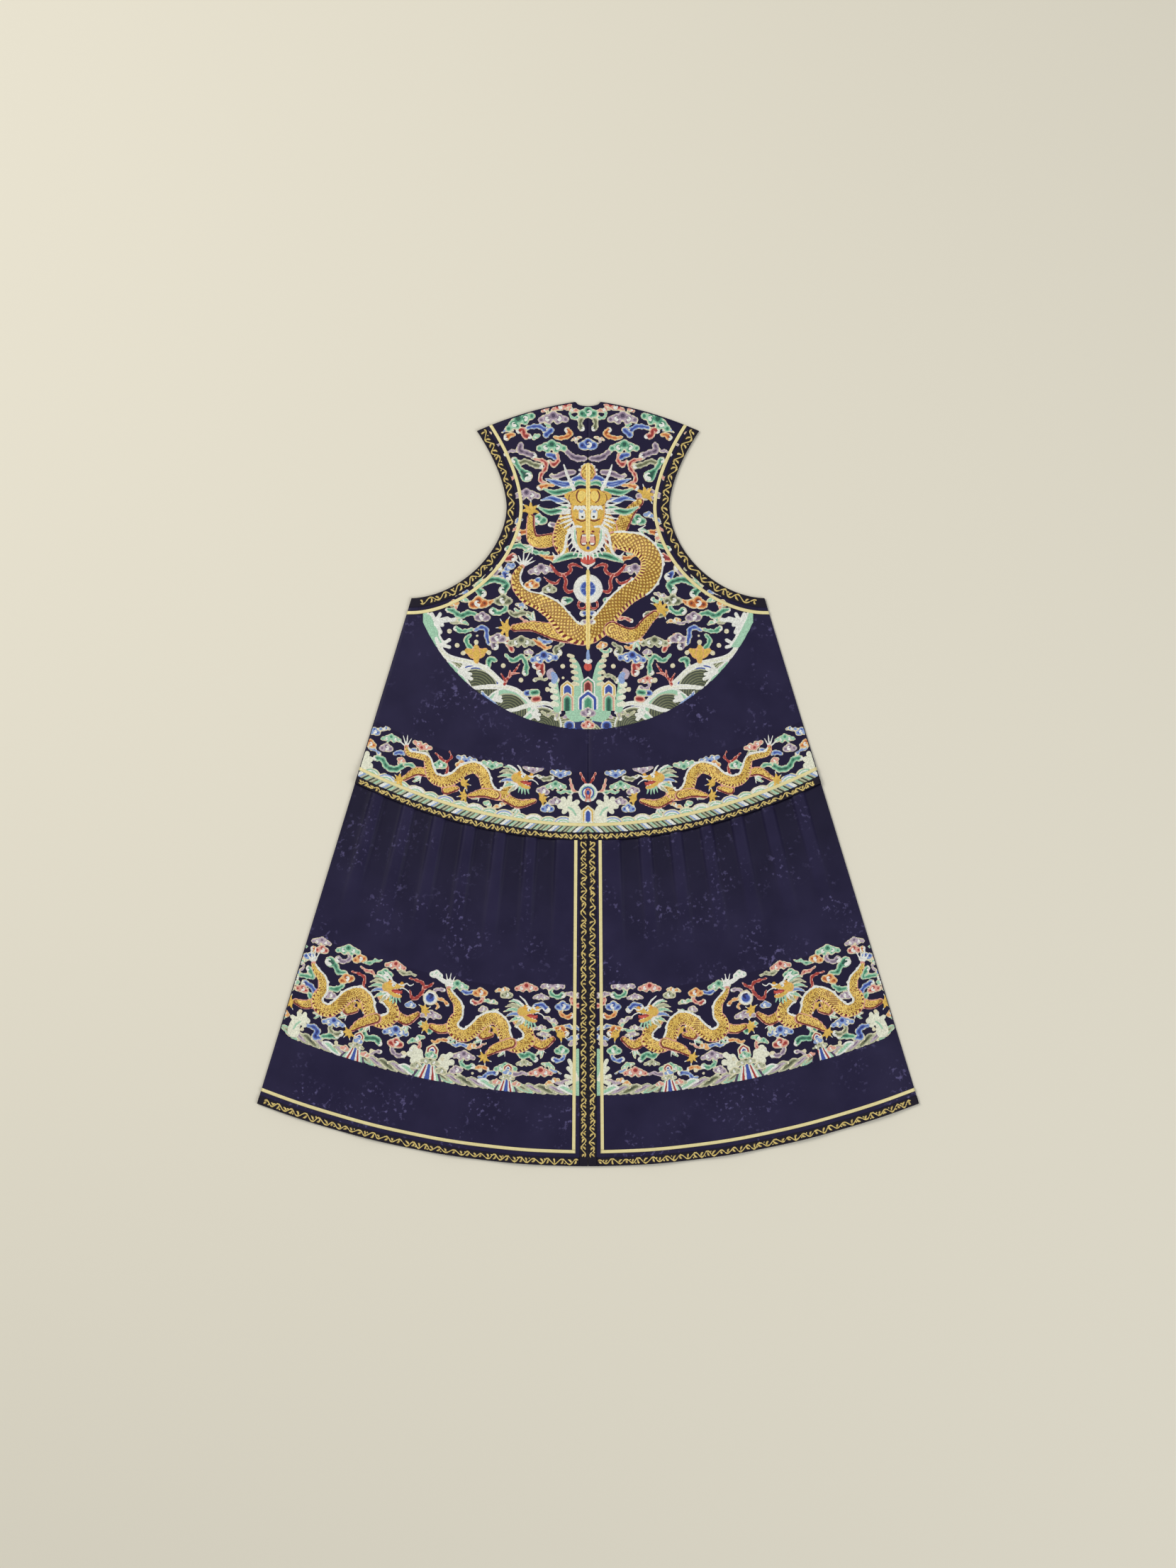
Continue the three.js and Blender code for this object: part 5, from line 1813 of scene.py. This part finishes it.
def strip(name, columns, rows, place, top, thick, material, slot, side=1):
    """A band of cloth or braid that lies on the back, in place of the plain one of that name."""
    first, second = np.meshgrid(columns, rows)
    x, down = place(first, second)
    under = top(x, down) + SEAM_GAP
    obj = closed_cloth(f"{name}_cloth", side * x, down, under, thick, material)
    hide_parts(name)
    return obj


def vent_piping_place(aside, row):
    return skirt_place_at(mix(VENT_PIPING_AT_WAIST, VENT_PIPING_AT_HEM, row) + aside, row)


def between(first, last, count=7):
    return with_rims(np.linspace(first, last, count), RIM)


def columns_from(aside):
    return np.linspace(aside / side_half(HEM_SIDE), 1, 121)


# In places along the armhole's line
ARMHOLE_RIM = 0.2


def edgings_and_piping():
    tall = LENGTH - WAIST_CENTRE
    vent_rows = skirt_rows(90)
    last = 1 - (HEM_PIPING + PIPING_WIDE + SEAM_GAP) / tall
    piping_rows = with_rims(np.append(vent_rows[vent_rows < last - STOP_GAP], last), RIM / tall)
    armhole_rows = with_rims(np.arange(len(ARMHOLE[0]), dtype=float), ARMHOLE_RIM)
    edging = dict(thick=EDGING_THICK, material=BROCADE, slot="brocade_edging")
    piping = dict(thick=PIPING_THICK, material=BRAID, slot="gold_piping")
    in_armhole = between(ARMHOLE_PIPING, ARMHOLE_PIPING + PIPING_WIDE, 5)
    above_hem = between(HEM_PIPING + PIPING_WIDE, HEM_PIPING, 5)
    above_waist = between(WAIST_PIPING + PIPING_WIDE, WAIST_PIPING, 5)
    beside_vent = columns_from(VENT_EDGING + SEAM_GAP)
    strips = (
        ("armhole_edging", edging, between(0, ARMHOLE_EDGING), armhole_rows, armhole_place, armhole_top),
        ("armhole_piping", piping, in_armhole, armhole_rows, armhole_place, armhole_top),
        ("vent_edging", edging, between(OPENING_GAP / 2, VENT_EDGING), vent_rows, skirt_place_at, skirt_top),
        ("vent_piping", piping, between(0, PIPING_WIDE, 5), piping_rows, vent_piping_place, skirt_top),
        ("hem_edging", edging, beside_vent, between(HEM_EDGING, 0), hem_place, skirt_top),
        ("hem_piping", piping, columns_from(VENT_PIPING_AT_HEM), above_hem, hem_place, skirt_top),
    )
    for side, hand in SIDES:
        for name, finish, *form in strips:
            strip(f"{name}_{hand}", *form, side=side, **finish)
    whole = np.linspace(-1, 1, 181)
    strip("waist_edging", whole, between(WAIST_EDGING, 0), waist_place, bodice_top, **edging)
    strip("waist_piping", whole, above_waist, waist_place, bodice_top, **piping)


# The studio, in metres
FLOOR_HALF = 6
CAMERA_HEIGHT, LENS, SENSOR = 6.737, 85, 36
SKY, SKY_STRENGTH = (0.9, 0.92, 0.95, 1), 0.4


def light(name, place, power, size, colour):
    lamp = bpy.data.lights.new(name, "AREA")
    lamp.energy, lamp.size, lamp.color = power, size, colour
    obj = bpy.data.objects.new(name, lamp)
    obj.location = place
    obj.rotation_euler = (-Vector(place)).to_track_quat("-Z", "Y").to_euler()
    bpy.context.scene.collection.objects.link(obj)


def studio():
    scene = bpy.context.scene
    mesh = bpy.data.meshes.new("floor")
    corners = [(x * FLOOR_HALF, y * FLOOR_HALF, 0) for x, y in ((-1, -1), (1, -1), (1, 1), (-1, 1))]
    mesh.from_pydata(corners, [], [(0, 1, 2, 3)])
    pale = Finish("floor", 0.9)
    pale.shade(Base_Color=linear(224, 218, 200))
    mesh.materials.append(pale.material)
    floor = bpy.data.objects.new("floor", mesh)
    scene.collection.objects.link(floor)
    light("key", place=(-2.6, 1.9, 4.2), power=150, size=2.6, colour=(1, 0.98, 0.94))
    light("fill", place=(3.0, -1.6, 3.8), power=90, size=3.2, colour=(0.95, 0.97, 1))
    world = bpy.data.worlds.new("world")
    world.use_nodes = True
    background = world.node_tree.nodes["Background"]
    background.inputs["Color"].default_value = SKY
    background.inputs["Strength"].default_value = SKY_STRENGTH
    scene.world = world
    lens = bpy.data.cameras.new("camera")
    lens.lens, lens.sensor_fit = LENS, "VERTICAL"
    lens.sensor_width, lens.sensor_height = SENSOR, SENSOR
    camera = bpy.data.objects.new("camera", lens)
    camera.location = (0, 0, CAMERA_HEIGHT)
    scene.collection.objects.link(camera)
    scene.camera = camera
    scene.view_settings.view_transform = "Standard"


PANELS = all_panels()
edgings_and_piping()
SEWN = sew_all()
studio()
